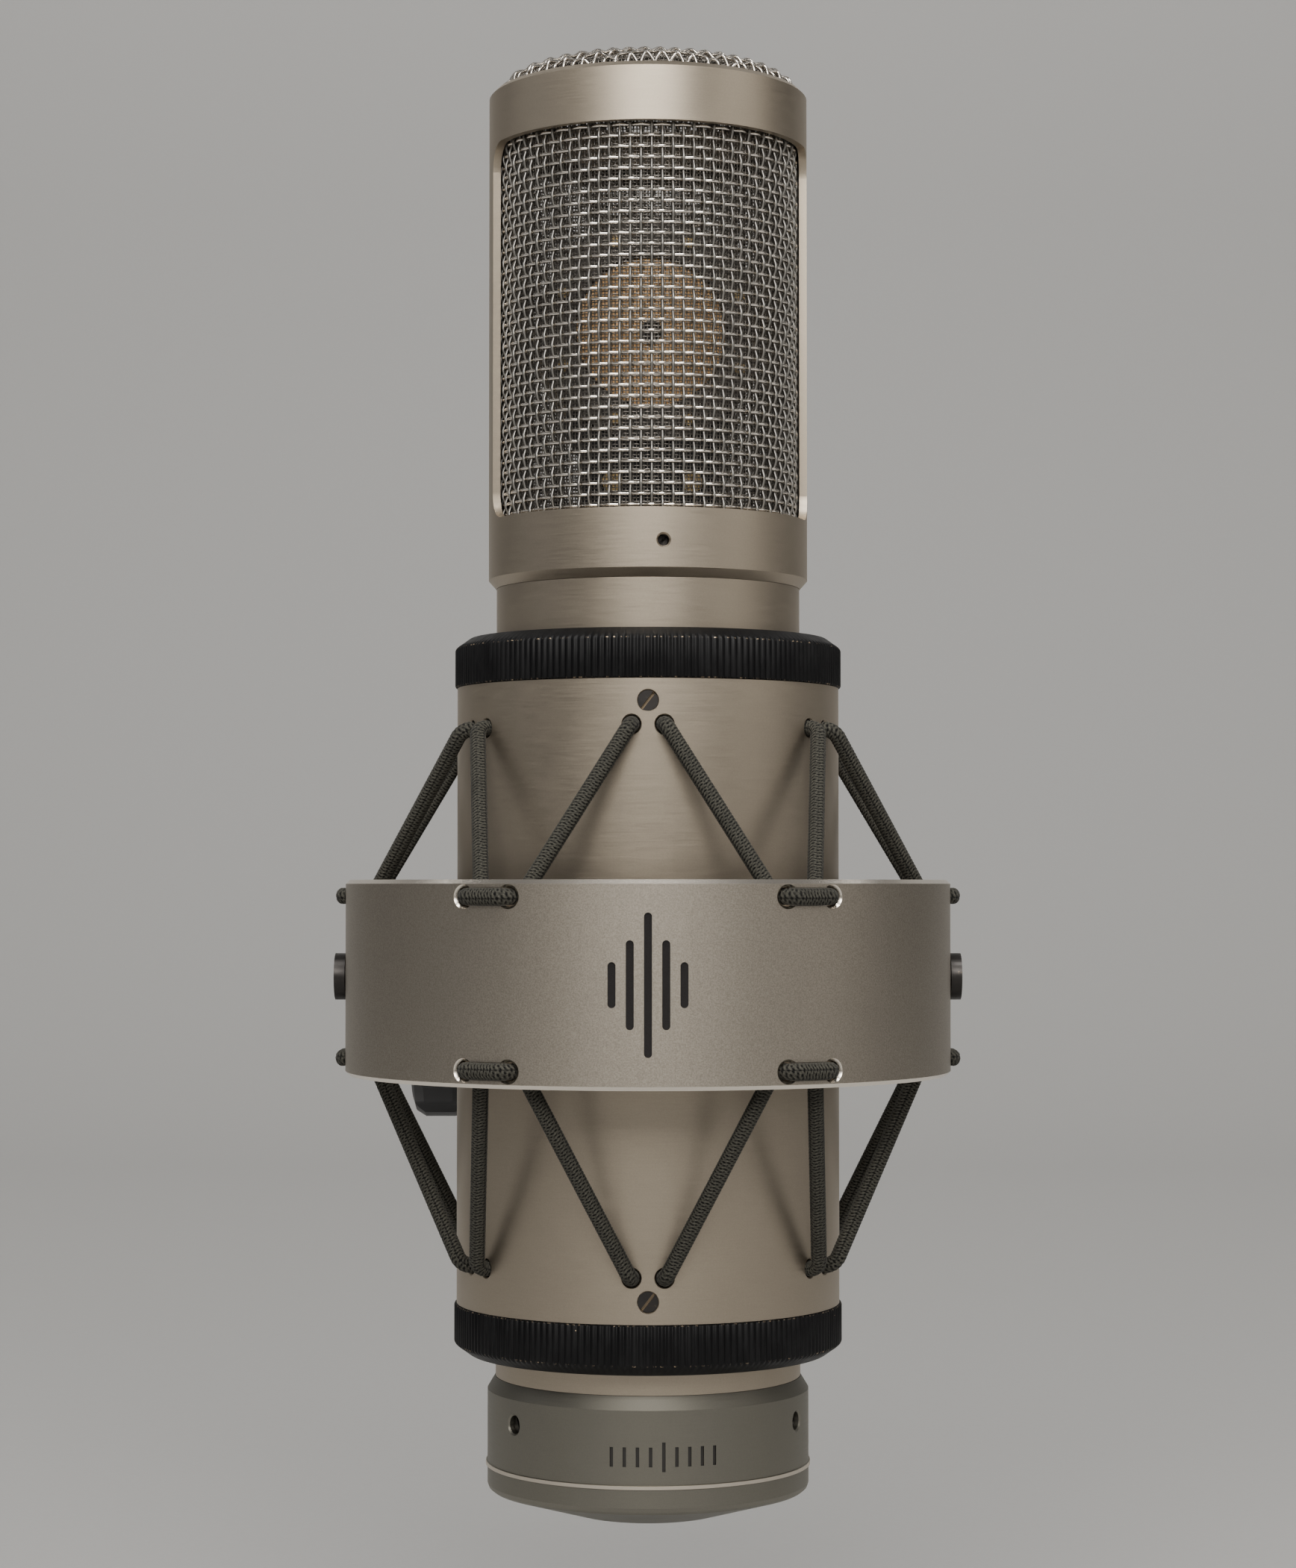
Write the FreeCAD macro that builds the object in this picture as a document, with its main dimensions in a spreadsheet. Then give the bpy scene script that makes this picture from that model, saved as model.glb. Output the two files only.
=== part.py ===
"""Large-diaphragm tube condenser microphone clamped in its elastic shock mount.

Millimetres, +Z up, the microphone's front faces -Y.  The origin is the mouth of the
stand thread, under the swivel at the back of the shock mount.  Four local frames are used:

  stand   the part frame itself
  ring    centre of the suspension ring, on the microphone's axis
  cradle  centre of the cradle sleeve, on the same axis, a little lower because the elastics sag
  mic     lowest face of the microphone, turned about the axis by the aim angle
"""
import FreeCAD, Part
import math
import os
import re
import Sketcher
from FreeCAD import Placement, Rotation, Vector

DIMENSIONS = [
    # alias, value, meaning
    ("setback", 65.0, "microphone axis in front of the stand axis"),
    ("pivot_height", 38.0, "swivel bolt above the mouth of the stand thread"),
    ("ring_height", 49.4, "ring centre above the origin"),
    ("cradle_height", 46.75, "cradle centre above the origin"),
    ("mic_height", -30.2, "lowest face of the microphone"),
    ("aim_angle", 5.4, "microphone turned about its axis"),
    ("fit_gap", 0.05, "running clearance on a radius"),
    # suspension ring
    ("ring_outer", 45.3, "radius"),
    ("ring_inner", 42.3, "radius"),
    ("ring_half", 14.5, "half height"),
    ("ring_bevel", 0.6, "bright bevel on the outer edges"),
    ("ring_hole_level", 12.1, "cord holes above and below the ring centre"),
    ("ring_hole_angle", 4.65, "half angle between the two holes of a pair"),
    ("ring_hole_radius", 1.35, "cord hole"),
    ("bed_half_height", 1.3, "milled bed between the two holes of a pair"),
    ("bed_depth", 0.85, "depth of that bed"),
    ("bar_half_width", 0.55, "engraved bars on the front of the ring"),
    ("bar_depth", 0.35, "depth of the bars"),
    ("plug_radius", 3.5, "head of the blanking screws"),
    ("plug_head", 1.6, "head height"),
    ("plug_shank", 2.5, "M5 shank radius"),
    ("plug_length", 2.8, "length of a blanking screw under its head"),
    ("lug_screw_reach", 10.0, "end of the lug screw beyond the bore of the ring"),
    # cradle sleeve
    ("sleeve_outer", 28.65, "radius"),
    ("sleeve_inner", 27.15, "radius"),
    ("sleeve_half", 45.85, "half length"),
    ("sleeve_hole_level", 39.25, "cord holes above and below the cradle centre"),
    ("sleeve_hole_angle", 4.7, "half angle between the two holes of a pair"),
    ("sleeve_hole_radius", 1.3, "cord hole"),
    ("set_screw_level", 42.65, "set screws above and below the cradle centre"),
    ("set_screw_radius", 1.45, "M3 set screw"),
    ("set_screw_depth", 3.4, "length of a set screw"),
    ("slot_width", 0.4, "driver slot of the headless screws"),
    ("slot_depth", 0.7, "depth of that slot"),
    ("head_screw_radius", 0.75, "radial screws of the head"),
    ("base_screw_radius", 1.2, "radial screws of the base"),
    # clamping collars
    ("bush_inner", 24.5, "bore of the threaded bush"),
    ("bush_foot", 41.0, "foot of the bush above the cradle centre"),
    ("bush_seat", 44.9, "seat of the rubber above the cradle centre"),
    ("bush_top", 50.4, "top of the bush above the cradle centre"),
    ("bush_wall_inner", 25.75, "bore of the thin wall round the rubber"),
    ("collar_outer", 29.0, "knurled radius"),
    ("collar_bore", 24.3, "opening in the lip"),
    ("collar_lip_outer", 26.8, "top of the chamfered lip"),
    ("collar_length", 7.4, "height of a collar"),
    ("collar_knurl", 5.9, "height of the knurled band"),
    ("collar_web", 2.3, "thickness of the lip"),
    ("rubber_inner", 22.88, "grip rubber on the microphone body"),
    ("rubber_outer", 25.6, "radius"),
    ("pressure_height", 1.3, "pressure ring"),
    # elastics
    ("cord_radius", 1.15, "elastic cord"),
    # microphone
    ("head_outer", 24.0, "radius of head and base"),
    ("head_inner", 22.85, "bore of the head"),
    ("body_outer", 22.8, "radius of the body tube"),
    ("body_inner", 21.3, "bore of the body tube"),
    ("base_edge", 4.0, "lower edge of the base"),
    ("base_flat", 11.5, "radius of the flat round the connector"),
    ("base_top", 20.2, "top of the base cup"),
    ("base_chamfer", 1.9, "height of the chamfer at the top of the base cup"),
    ("bead_height", 0.25, "bead above the surface of the base cup"),
    ("base_screw_level", 14.7, "radial screws of the base"),
    ("tick_level", 11.7, "middle of the engraved aiming scale"),
    ("tick_half_width", 0.25, "half width of a tick"),
    ("tick_depth", 0.25, "depth of a tick"),
    ("neck_top", 137.8, "end of the visible neck"),
    ("head_bottom", 139.1, "lower edge of the head"),
    ("head_screw_level", 143.0, "radial screws of the head"),
    ("window_bottom", 147.8, "lower edge of the windows"),
    ("window_top", 203.9, "upper edge of the windows"),
    ("window_angle", 160.0, "opening angle of each window"),
    ("window_corner", 4.0, "corner radius of the windows"),
    ("head_top", 212.55, "upper edge of the head"),
    ("dome_rise", 4.35, "crown of the mesh dome above the head"),
    ("wire_radius", 0.235, "wire of the coarse mesh"),
    ("mesh_outer", 22.72, "outside of the coarse side mesh"),
    ("fine_mesh_outer", 21.55, "outside of the fine side mesh"),
    ("capsule_height", 176.2, "capsule centre"),
    ("capsule_radius", 17.0, "capsule"),
    ("capsule_half", 5.5, "half thickness of the capsule"),
    ("diaphragm_radius", 11.2, "visible radius of a diaphragm"),
    ("saddle_bottom", 150.2, "underside of the capsule saddle"),
    ("saddle_half_width", 10.0, "half width of the saddle"),
    ("saddle_half_depth", 6.0, "half depth of the saddle"),
    ("head_base_bottom", 139.4, "underside of the head base"),
    ("head_base_top", 147.4, "top of the head base"),
    ("board_half_width", 17.0, "circuit board"),
    ("board_bottom", 52.0, "circuit board"),
    ("board_top", 130.0, "circuit board"),
    ("rail_offset", 18.4, "chassis rails beside the board"),
    ("valve_radius", 5.1, "amplifier tube"),
    ("valve_bottom", 92.0, "foot of the amplifier tube"),
    ("valve_top", 126.0, "tip of the amplifier tube"),
    ("pin_radius", 1.2, "connector pin"),
    ("pin_circle", 5.6, "pitch radius of the outer pins"),
    ("shell_outer", 9.6, "connector shell"),
    ("shell_inner", 8.3, "opening of the connector shell"),
    # stand adapter
    ("barrel_radius", 14.0, "barrel over the stand thread"),
    ("barrel_top", 21.0, "top of the barrel"),
    ("ear_inner", 6.0, "inside of the fork"),
    ("ear_outer", 11.0, "outside of the fork"),
    ("ear_radius", 12.0, "rounded top of the fork"),
    ("lug_half_width", 5.0, "half width of the swivel lug"),
    ("lug_radius", 11.0, "eye of the swivel lug"),
    ("bolt_radius", 3.95, "M8 swivel bolt"),
    ("bolt_end", 31.0, "end of the bolt inside the knob"),
    ("bolt_head_radius", 6.6, "head of the bolt"),
    ("bolt_head_height", 4.8, "head of the bolt"),
    ("washer_radius", 10.0, "friction washers beside the lug"),
    ("knob_washer_radius", 9.0, "steel washer under the knob"),
    ("stand_thread_radius", 7.5, "5/8 inch stand thread, bore of the barrel"),
    ("small_thread_radius", 4.0, "3/8 inch stand thread, minor radius"),
    ("thread_length", 15.0, "depth of the stand thread"),
    ("knob_radius", 14.0, "clamp knob"),
    ("knob_inner_face", 12.7, "inner face of the knob"),
    ("knob_outer_face", 39.6, "outer face of the knob"),
    ("insert_radius", 6.5, "threaded insert of the knob"),
]

SIZE = {alias: value for alias, value, meaning in DIMENSIONS}
FRONT = -90.0
FRAMES = {
    "stand": None,
    "ring": "ring_height",
    "cradle": "cradle_height",
    "mic": "mic_height",
}

doc = FreeCAD.newDocument("condenser_microphone")
sheet = doc.addObject("Spreadsheet::Sheet", "Dims")
parts = []


def fill_sheet():
    """One row per driving dimension: name, value with its alias, meaning."""
    for row, (alias, value, meaning) in enumerate(DIMENSIONS, 1):
        sheet.set(f"A{row}", alias)
        sheet.set(f"B{row}", str(value))
        sheet.setAlias(f"B{row}", alias)
        sheet.set(f"C{row}", meaning)
    doc.recompute()


def formula(text):
    """Point the names in an expression at the sheet's cells."""
    return re.sub(r"[a-z_]+", lambda word: "Dims." + word[0] if word[0] in SIZE else word[0], str(text))


def amount(text):
    """The present value of an expression."""
    value = sheet.evalExpression(formula(text))
    return float(getattr(value, "Value", value))


def bind(target, **sizes):
    """Bind properties to expressions of the sheet's cells."""
    for name, text in sizes.items():
        target.setExpression(name, formula(text))


def place(target, frame, x="0", y="0", z="0", turn="0"):
    """Put an object into one of the four frames, shifted and turned about the frame's Z axis."""
    aim = amount("aim_angle") if frame == "mic" else 0.0
    level = FRAMES[frame]
    setback = "setback" if level else "0"
    spin = Rotation(Vector(0, 0, 1), aim)
    shift = spin.multVec(Vector(amount(x), amount(y), 0))
    target.Placement = Placement(Vector(0, 0, 0), Rotation(Vector(0, 0, 1), 1.0))
    bind(target, **{
        "Placement.Base.x": f"{shift.x}",
        "Placement.Base.y": f"{shift.y} - ({setback})",
        "Placement.Base.z": f"({level or 0}) + ({z})",
        "Placement.Rotation.Angle": f"{'aim_angle' if frame == 'mic' else 0} + ({turn})",
    })


def keep(target, name):
    """Register an object as a finished sub-part."""
    target.Label = name
    parts.append(target)
    return target


def new_body(name, frame, **where):
    """An empty PartDesign body standing in one of the frames."""
    body = doc.addObject("PartDesign::Body", "body_" + name)
    place(body, frame, **where)
    return keep(body, name)


def origin_feature(body, role):
    """One of the body's own origin planes or axes."""
    return next(item for item in body.Origin.OriginFeatures if item.Role == role)


def new_sketch(body, plane="XZ_Plane", angle="0", level="0", offset="0"):
    """A sketch on an origin plane; an XZ sketch may be turned about Z, raised and pushed out."""
    sketch = body.newObject("Sketcher::SketchObject", body.Label + "_sketch")
    sketch.AttachmentSupport = (origin_feature(body, plane), [""])
    sketch.MapMode = "FlatFace"
    if plane == "XZ_Plane":
        turn = Rotation(Vector(0, 1, 0), amount(angle))
        push = turn.multVec(Vector(0, 0, amount(offset)))
        sketch.AttachmentOffset = Placement(push, turn)
        bind(sketch, **{"AttachmentOffset.Base.y": level})
    else:
        sketch.AttachmentOffset = Placement(Vector(0, 0, 0), Rotation())
        bind(sketch, **{"AttachmentOffset.Base.z": level})
    return sketch


def outline(sketch, corners):
    """A closed polygon whose every corner is dimensioned from the sketch's origin."""
    spots = [(amount(across), amount(up)) for across, up in corners]
    first = sketch.GeometryCount
    count = len(spots)
    for index, start in enumerate(spots):
        end = spots[(index + 1) % count]
        sketch.addGeometry(Part.LineSegment(Vector(*start, 0), Vector(*end, 0)), False)
    for index in range(count):
        after = first + (index + 1) % count
        sketch.addConstraint(Sketcher.Constraint("Coincident", first + index, 2, after, 1))
    for index, (across, up) in enumerate(corners):
        pin_point(sketch, first + index, 1, across, up)


def pin_point(sketch, line, end, across, up):
    """Dimension one sketch point from the origin, along both axes."""
    for kind, text, axis in (("DistanceX", across, -2), ("DistanceY", up, -1)):
        size = amount(text)
        if abs(size) < 1e-9:
            sketch.addConstraint(Sketcher.Constraint("PointOnObject", line, end, axis))
            continue
        number = sketch.addConstraint(Sketcher.Constraint(kind, -1, 1, line, end, size))
        sketch.setExpression(f"Constraints[{number}]", formula(text))


def circles(sketch, radius, centres):
    """Circles of one bound radius at bound centres."""
    for across, up in centres:
        spot = Vector(amount(across), amount(up), 0)
        line = sketch.addGeometry(Part.Circle(spot, Vector(0, 0, 1), amount(radius)), False)
        number = sketch.addConstraint(Sketcher.Constraint("Radius", line, amount(radius)))
        sketch.setExpression(f"Constraints[{number}]", formula(radius))
        pin_point(sketch, line, 3, across, up)


def spaced(radius, count):
    """Points spread evenly round a circle, as sketch coordinates."""
    spins = [math.tau * step / count for step in range(count)]
    return [(f"{radius * math.cos(spin):.4f}", f"{radius * math.sin(spin):.4f}") for spin in spins]


def feature(body, kind, sketch, **sizes):
    """A sketch-based PartDesign feature with bound sizes."""
    made = body.newObject("PartDesign::" + kind, body.Label + "_" + kind.lower())
    made.Profile = sketch
    bind(made, **sizes)
    sketch.Visibility = False
    return made


def cut(body, made, before):
    """Recompute and make sure that a cut removed material, turning its direction if not."""
    doc.recompute()
    if body.Shape.Volume > before - 1e-6:
        made.Reversed = not made.Reversed
        doc.recompute()
    if body.Shape.Volume > before - 1e-6:
        raise RuntimeError(f"{made.Label} removes nothing from {body.Label}")
    return made


def turned(name, frame, corners, axis="V_Axis", **where):
    """A turned piece: a closed outline of (radius, height) corners spun about the axis."""
    body = new_body(name, frame, **where)
    sketch = new_sketch(body)
    outline(sketch, corners)
    spin = feature(body, "Revolution", sketch)
    spin.ReferenceAxis = (sketch, [axis])
    spin.Angle = 360
    doc.recompute()
    return body


def tube(name, frame, outer, inner, low, high, **where):
    """A plain turned ring or tube."""
    corners = [(inner, low), (outer, low), (outer, high), (inner, high)]
    return turned(name, frame, corners, **where)


def dress(body, kind, edges, size):
    """A fillet or chamfer on named edges of the body's tip."""
    tip = body.Tip
    made = body.newObject("PartDesign::" + kind, body.Label + "_" + kind.lower())
    made.Base = (tip, edges)
    bind(made, **{"Radius" if kind == "Fillet" else "Size": size})
    doc.recompute()
    return made


def repeat(body, originals, count, axis="Z_Axis"):
    """Repeat cuts evenly round one of the body's own axes."""
    pattern = body.newObject("PartDesign::PolarPattern", body.Label + "_pattern")
    pattern.Originals = originals
    pattern.Axis = (origin_feature(body, axis), [""])
    pattern.Angle = 360
    pattern.Occurrences = count
    body.Tip = pattern
    doc.recompute()
    return pattern


def drill(body, angles, level, profile, count=1):
    """Radial holes: half sections (distance from the axis, hole radius) spun about the radius."""
    holes = []
    for angle in angles:
        before = body.Shape.Volume
        sketch = new_sketch(body, angle=angle, level=level)
        outline(sketch, profile)
        hole = feature(body, "Groove", sketch)
        hole.ReferenceAxis = (sketch, ["H_Axis"])
        hole.Angle = 360
        holes.append(cut(body, hole, before))
    if count > 1:
        repeat(body, holes, count)
    return holes


def pilot_holes(body, angle, level, radius):
    """Three plain radial holes for screws that come in through the wall of head or base."""
    profile = [
        ("body_inner - 6", "0"), ("body_inner - 6", f"{radius} + fit_gap"),
        ("body_inner + 1", f"{radius} + fit_gap"), ("body_inner + 1", "0"),
    ]
    drill(body, [f"{angle}"], level, profile, 3)


def gather(name, frame, solids, **where):
    """Several equal solids in one node, such as a set of screws."""
    group = doc.addObject("Part::Compound", "group_" + name)
    group.Links = solids
    for solid in solids:
        solid.Visibility = False
    place(group, frame, **where)
    return keep(group, name)


def primitive(kind, name, spot=(0, 0, 0), direction=None, **sizes):
    """A Part primitive with bound sizes; its axis may point along a given direction."""
    made = doc.addObject("Part::" + kind, name)
    bind(made, **sizes)
    if direction is not None:
        made.Placement.Rotation = Rotation(Vector(0, 0, 1), Vector(*direction))
    for letter, text in zip("xyz", spot):
        bind(made, **{"Placement.Base." + letter: text})
    return made


def boolean(kind, name, base, tool):
    """Cut, Fuse or Common of two objects."""
    made = doc.addObject("Part::" + kind, name)
    made.Base = base
    made.Tool = tool
    return made


def socket_screw(label, frame_spot, direction, shank, head, driver):
    """A headed screw: shank and head are (radius, length) pairs, driver the socket's size."""
    rod = primitive("Cylinder", label + "_shank", Radius=shank[0], Height=shank[1])
    cap = primitive("Cylinder", label + "_head", spot=(0, 0, shank[1]), Radius=head[0], Height=head[1])
    whole = boolean("Fuse", label + "_blank", rod, cap)
    depth = f"({head[1]}) * 0.6"
    top = f"({shank[1]}) + ({head[1]}) * 0.4 + 0.01"
    hexagon = primitive("Prism", label + "_driver", spot=(0, 0, top), Circumradius=driver, Height=depth)
    screw = boolean("Cut", label, whole, hexagon)
    spin = Rotation(Vector(0, 0, 1), Vector(*direction))
    screw.Placement = Placement(Vector(*frame_spot), spin)
    return screw


def grub_screw(label, angle, level, start, radius, length):
    """A slotted headless screw lying along a radius; start is its inner end."""
    rod = primitive("Cylinder", label + "_rod", Radius=radius, Height=length)
    slot = primitive("Box", label + "_slot", Length=f"({radius}) * 3", Width="slot_width",
                     Height="slot_depth + 0.1")
    bind(slot, **{
        "Placement.Base.x": f"({radius}) * -1.5",
        "Placement.Base.y": "-slot_width / 2",
        "Placement.Base.z": f"({length}) - slot_depth",
    })
    screw = boolean("Cut", label, rod, slot)
    outward = Vector(math.cos(math.radians(angle)), math.sin(math.radians(angle)), 0)
    spin = Rotation(Vector(0, 0, 1), outward) * Rotation(Vector(0, 0, 1), 52.0)
    screw.Placement = Placement(outward * amount(start) + Vector(0, 0, amount(level)), spin)
    return screw


def capped_slot(sketch, centre, half_width, half_height):
    """A slot with round ends, standing upright beside the sketch's vertical axis."""
    left, right = f"{centre} - {half_width}", f"{centre} + {half_width}"
    low, high = f"-({half_height})", half_height
    first = sketch.GeometryCount
    ends = [(left, low), (left, high), (right, high), (right, low)]
    spots = [Vector(amount(across), amount(up), 0) for across, up in ends]
    middle, wide = amount(centre), amount(half_width)
    sketch.addGeometry(Part.LineSegment(spots[0], spots[1]), False)
    crown = Vector(middle, amount(half_height) + wide, 0)
    sketch.addGeometry(Part.Arc(spots[1], crown, spots[2]), False)
    sketch.addGeometry(Part.LineSegment(spots[2], spots[3]), False)
    foot = Vector(middle, -amount(half_height) - wide, 0)
    sketch.addGeometry(Part.Arc(spots[3], foot, spots[0]), False)
    for line, end, (across, up) in ((0, 1, ends[0]), (0, 2, ends[1]), (2, 1, ends[2]), (2, 2, ends[3])):
        pin_point(sketch, first + line, end, across, up)


# ---------------------------------------------------------------- suspension ring

def suspension_ring():
    """Flat ring with twelve cord crossings, two plugged side threads and a bar ornament."""
    corners = [
        ("ring_inner", "-ring_half"), ("ring_outer - ring_bevel", "-ring_half"),
        ("ring_outer", "ring_bevel - ring_half"), ("ring_outer", "ring_half - ring_bevel"),
        ("ring_outer - ring_bevel", "ring_half"), ("ring_inner", "ring_half"),
    ]
    body = turned("suspension_ring", "ring", corners)
    hole = [
        ("ring_inner - 1", "0"), ("ring_inner - 1", "ring_hole_radius"),
        ("ring_outer - 0.4", "ring_hole_radius"), ("ring_outer + 0.35", "ring_hole_radius + 0.75"),
        ("ring_outer + 0.35", "0"),
    ]
    middle = FRONT + 30.0
    crossing = []
    for level in ("ring_hole_level", "-ring_hole_level"):
        pair = [f"{middle} + ring_hole_angle", f"{middle} - ring_hole_angle"]
        crossing += drill(body, pair, level, hole)
        before = body.Shape.Volume
        sketch = new_sketch(body, angle=f"{middle + 90}", level=level, offset="ring_outer + 1")
        half = "ring_outer * sin(ring_hole_angle * 1 deg)"
        outline(sketch, [(f"-{half}", "-bed_half_height"), (half, "-bed_half_height"),
                         (half, "bed_half_height"), (f"-{half}", "bed_half_height")])
        bed = feature(body, "Pocket", sketch, Length="1 + bed_depth")
        crossing.append(cut(body, bed, before))
    repeat(body, crossing, 6)
    plain = [
        ("ring_inner - 1", "0"), ("ring_inner - 1", "plug_shank + fit_gap"),
        ("ring_outer + 1", "plug_shank + fit_gap"), ("ring_outer + 1", "0"),
    ]
    drill(body, ["0", "180", "90"], "0", plain)
    for centre, half_height in ((0.0, 9.4), (2.5, 5.6), (-2.5, 5.6), (5.0, 2.6), (-5.0, 2.6)):
        before = body.Shape.Volume
        sketch = new_sketch(body, offset="ring_outer + 1")
        capped_slot(sketch, f"{centre}", "bar_half_width", f"{half_height}")
        sagitta = f"ring_outer - sqrt(ring_outer ^ 2 - {centre ** 2})"
        bar = feature(body, "Pocket", sketch, Length=f"1 + bar_depth + {sagitta}")
        cut(body, bar, before)


def ring_screws():
    """Blanking screws in the unused side threads, and the screw that holds the swivel lug."""
    plugs = []
    for side in (1, -1):
        start = side * (SIZE["ring_outer"] + SIZE["fit_gap"] - SIZE["plug_length"])
        shank = ("plug_shank - fit_gap", "plug_length")
        head = ("plug_radius", "plug_head")
        plugs.append(socket_screw(f"plug_{side}", (start, 0, 0), (side, 0, 0), shank, head, "1.5"))
    gather("ring_plug_screws", "ring", plugs)
    start = SIZE["ring_inner"] + SIZE["lug_screw_reach"]
    shank = ("plug_shank - fit_gap", "lug_screw_reach + 0.25")
    screw = socket_screw("lug_screw_blank", (0, start, 0), (0, -1, 0), shank, ("4.2", "3"), "2.3")
    gather("lug_screw", "ring", [screw])


def elastic_corners(side):
    """One sixth of a lacing: inside the sleeve, out, along a leg, over the ring and back."""
    drop = SIZE["cradle_height"] - SIZE["ring_height"]
    sleeve_level = drop + side * SIZE["sleeve_hole_level"]
    ring_level = side * SIZE["ring_hole_level"]
    inside = SIZE["sleeve_inner"] - SIZE["cord_radius"] - 0.3
    outside = SIZE["sleeve_outer"] + 1.6
    under = SIZE["ring_inner"] - 1.1
    over = SIZE["ring_outer"] + 0.8
    near, far = SIZE["sleeve_hole_angle"], 30.0 - SIZE["ring_hole_angle"]
    half = [
        (inside, 0.0, sleeve_level, 0.0),
        (inside, near, sleeve_level, 1.5),
        (outside, near, sleeve_level, 2.0),
        (under, far, ring_level, 2.2),
        (over, far, ring_level, 1.7),
    ]
    other = [(radius, 60.0 - angle, level, bend) for radius, angle, level, bend in reversed(half)]
    return half + other


def polar(radius, angle, level):
    """A point from radius, angle in degrees and height."""
    spin = math.radians(angle)
    return Vector(radius * math.cos(spin), radius * math.sin(spin), level)


def cord_path(corners):
    """Straight runs joined by tangent arcs; each corner is (radius, angle, level, bend radius)."""
    points = [polar(radius, FRONT + angle, level) for radius, angle, level, bend in corners]
    edges = []
    start = points[0]
    for index in range(1, len(points) - 1):
        here = points[index]
        arriving = (here - points[index - 1]).normalize()
        leaving = (points[index + 1] - here).normalize()
        turn = arriving.getAngle(leaving)
        bend = corners[index][3]
        reach = bend * math.tan(turn / 2)
        enter, leave = here - arriving * reach, here + leaving * reach
        inward = (leaving - arriving).normalize()
        crest = here + inward * (bend / math.cos(turn / 2) - bend)
        edges.append(Part.LineSegment(start, enter).toShape())
        edges.append(Part.Arc(enter, crest, leave).toShape())
        start = leave
    edges.append(Part.LineSegment(start, points[-1]).toShape())
    return Part.Wire(edges)


def elastic(name, side):
    """An endless elastic laced between sleeve and ring, swept a sixth at a time and joined."""
    path = cord_path(elastic_corners(side))
    start = path.OrderedVertexes[0].Point
    ahead = path.OrderedEdges[0].tangentAt(path.OrderedEdges[0].FirstParameter)
    section = Part.Wire(Part.Circle(start, ahead, SIZE["cord_radius"]).toShape())
    sixth = path.makePipeShell([section], True, True)
    expected = path.Length * math.pi * SIZE["cord_radius"] ** 2
    print(f"{name}: length {6 * path.Length:.1f}, volume ratio {sixth.Volume / expected:.4f}")
    turns = []
    for step in range(6):
        copy = sixth.copy()
        copy.rotate(Vector(0, 0, 0), Vector(0, 0, 1), 60.0 * step)
        turns.append(copy)
    cord = doc.addObject("Part::Feature", "cord_" + name)
    cord.Shape = turns[0].fuse(turns[1:]).removeSplitter()
    place(cord, "ring")
    keep(cord, name)


# ---------------------------------------------------------------- cradle

def cradle_sleeve():
    """Thin tube with twelve pairs of cord holes and six set-screw holes."""
    body = tube("cradle_sleeve", "cradle", "sleeve_outer", "sleeve_inner", "-sleeve_half", "sleeve_half")
    cord_hole = [
        ("sleeve_inner - 1", "0"), ("sleeve_inner - 1", "sleeve_hole_radius"),
        ("sleeve_outer - 0.2", "sleeve_hole_radius"), ("sleeve_outer + 0.3", "sleeve_hole_radius + 0.5"),
        ("sleeve_outer + 0.3", "0"),
    ]
    screw_hole = [
        ("sleeve_inner - 1", "0"), ("sleeve_inner - 1", "set_screw_radius + fit_gap"),
        ("sleeve_outer - 0.15", "set_screw_radius + fit_gap"),
        ("sleeve_outer + 0.3", "set_screw_radius + 0.45"), ("sleeve_outer + 0.3", "0"),
    ]
    pair = [f"{FRONT} + sleeve_hole_angle", f"{FRONT} - sleeve_hole_angle"]
    lacing = []
    for level in ("sleeve_hole_level", "-sleeve_hole_level"):
        lacing += drill(body, pair, level, cord_hole)
    repeat(body, lacing, 6)
    fixing = []
    for level in ("set_screw_level", "-set_screw_level"):
        fixing += drill(body, [f"{FRONT}"], level, screw_hole)
    repeat(body, fixing, 3)


def flipped(corners, side):
    """The same outline for the upper (+1) or the lower (-1) end of the cradle."""
    return [(across, f"{side} * ({up})") for across, up in corners]


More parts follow.
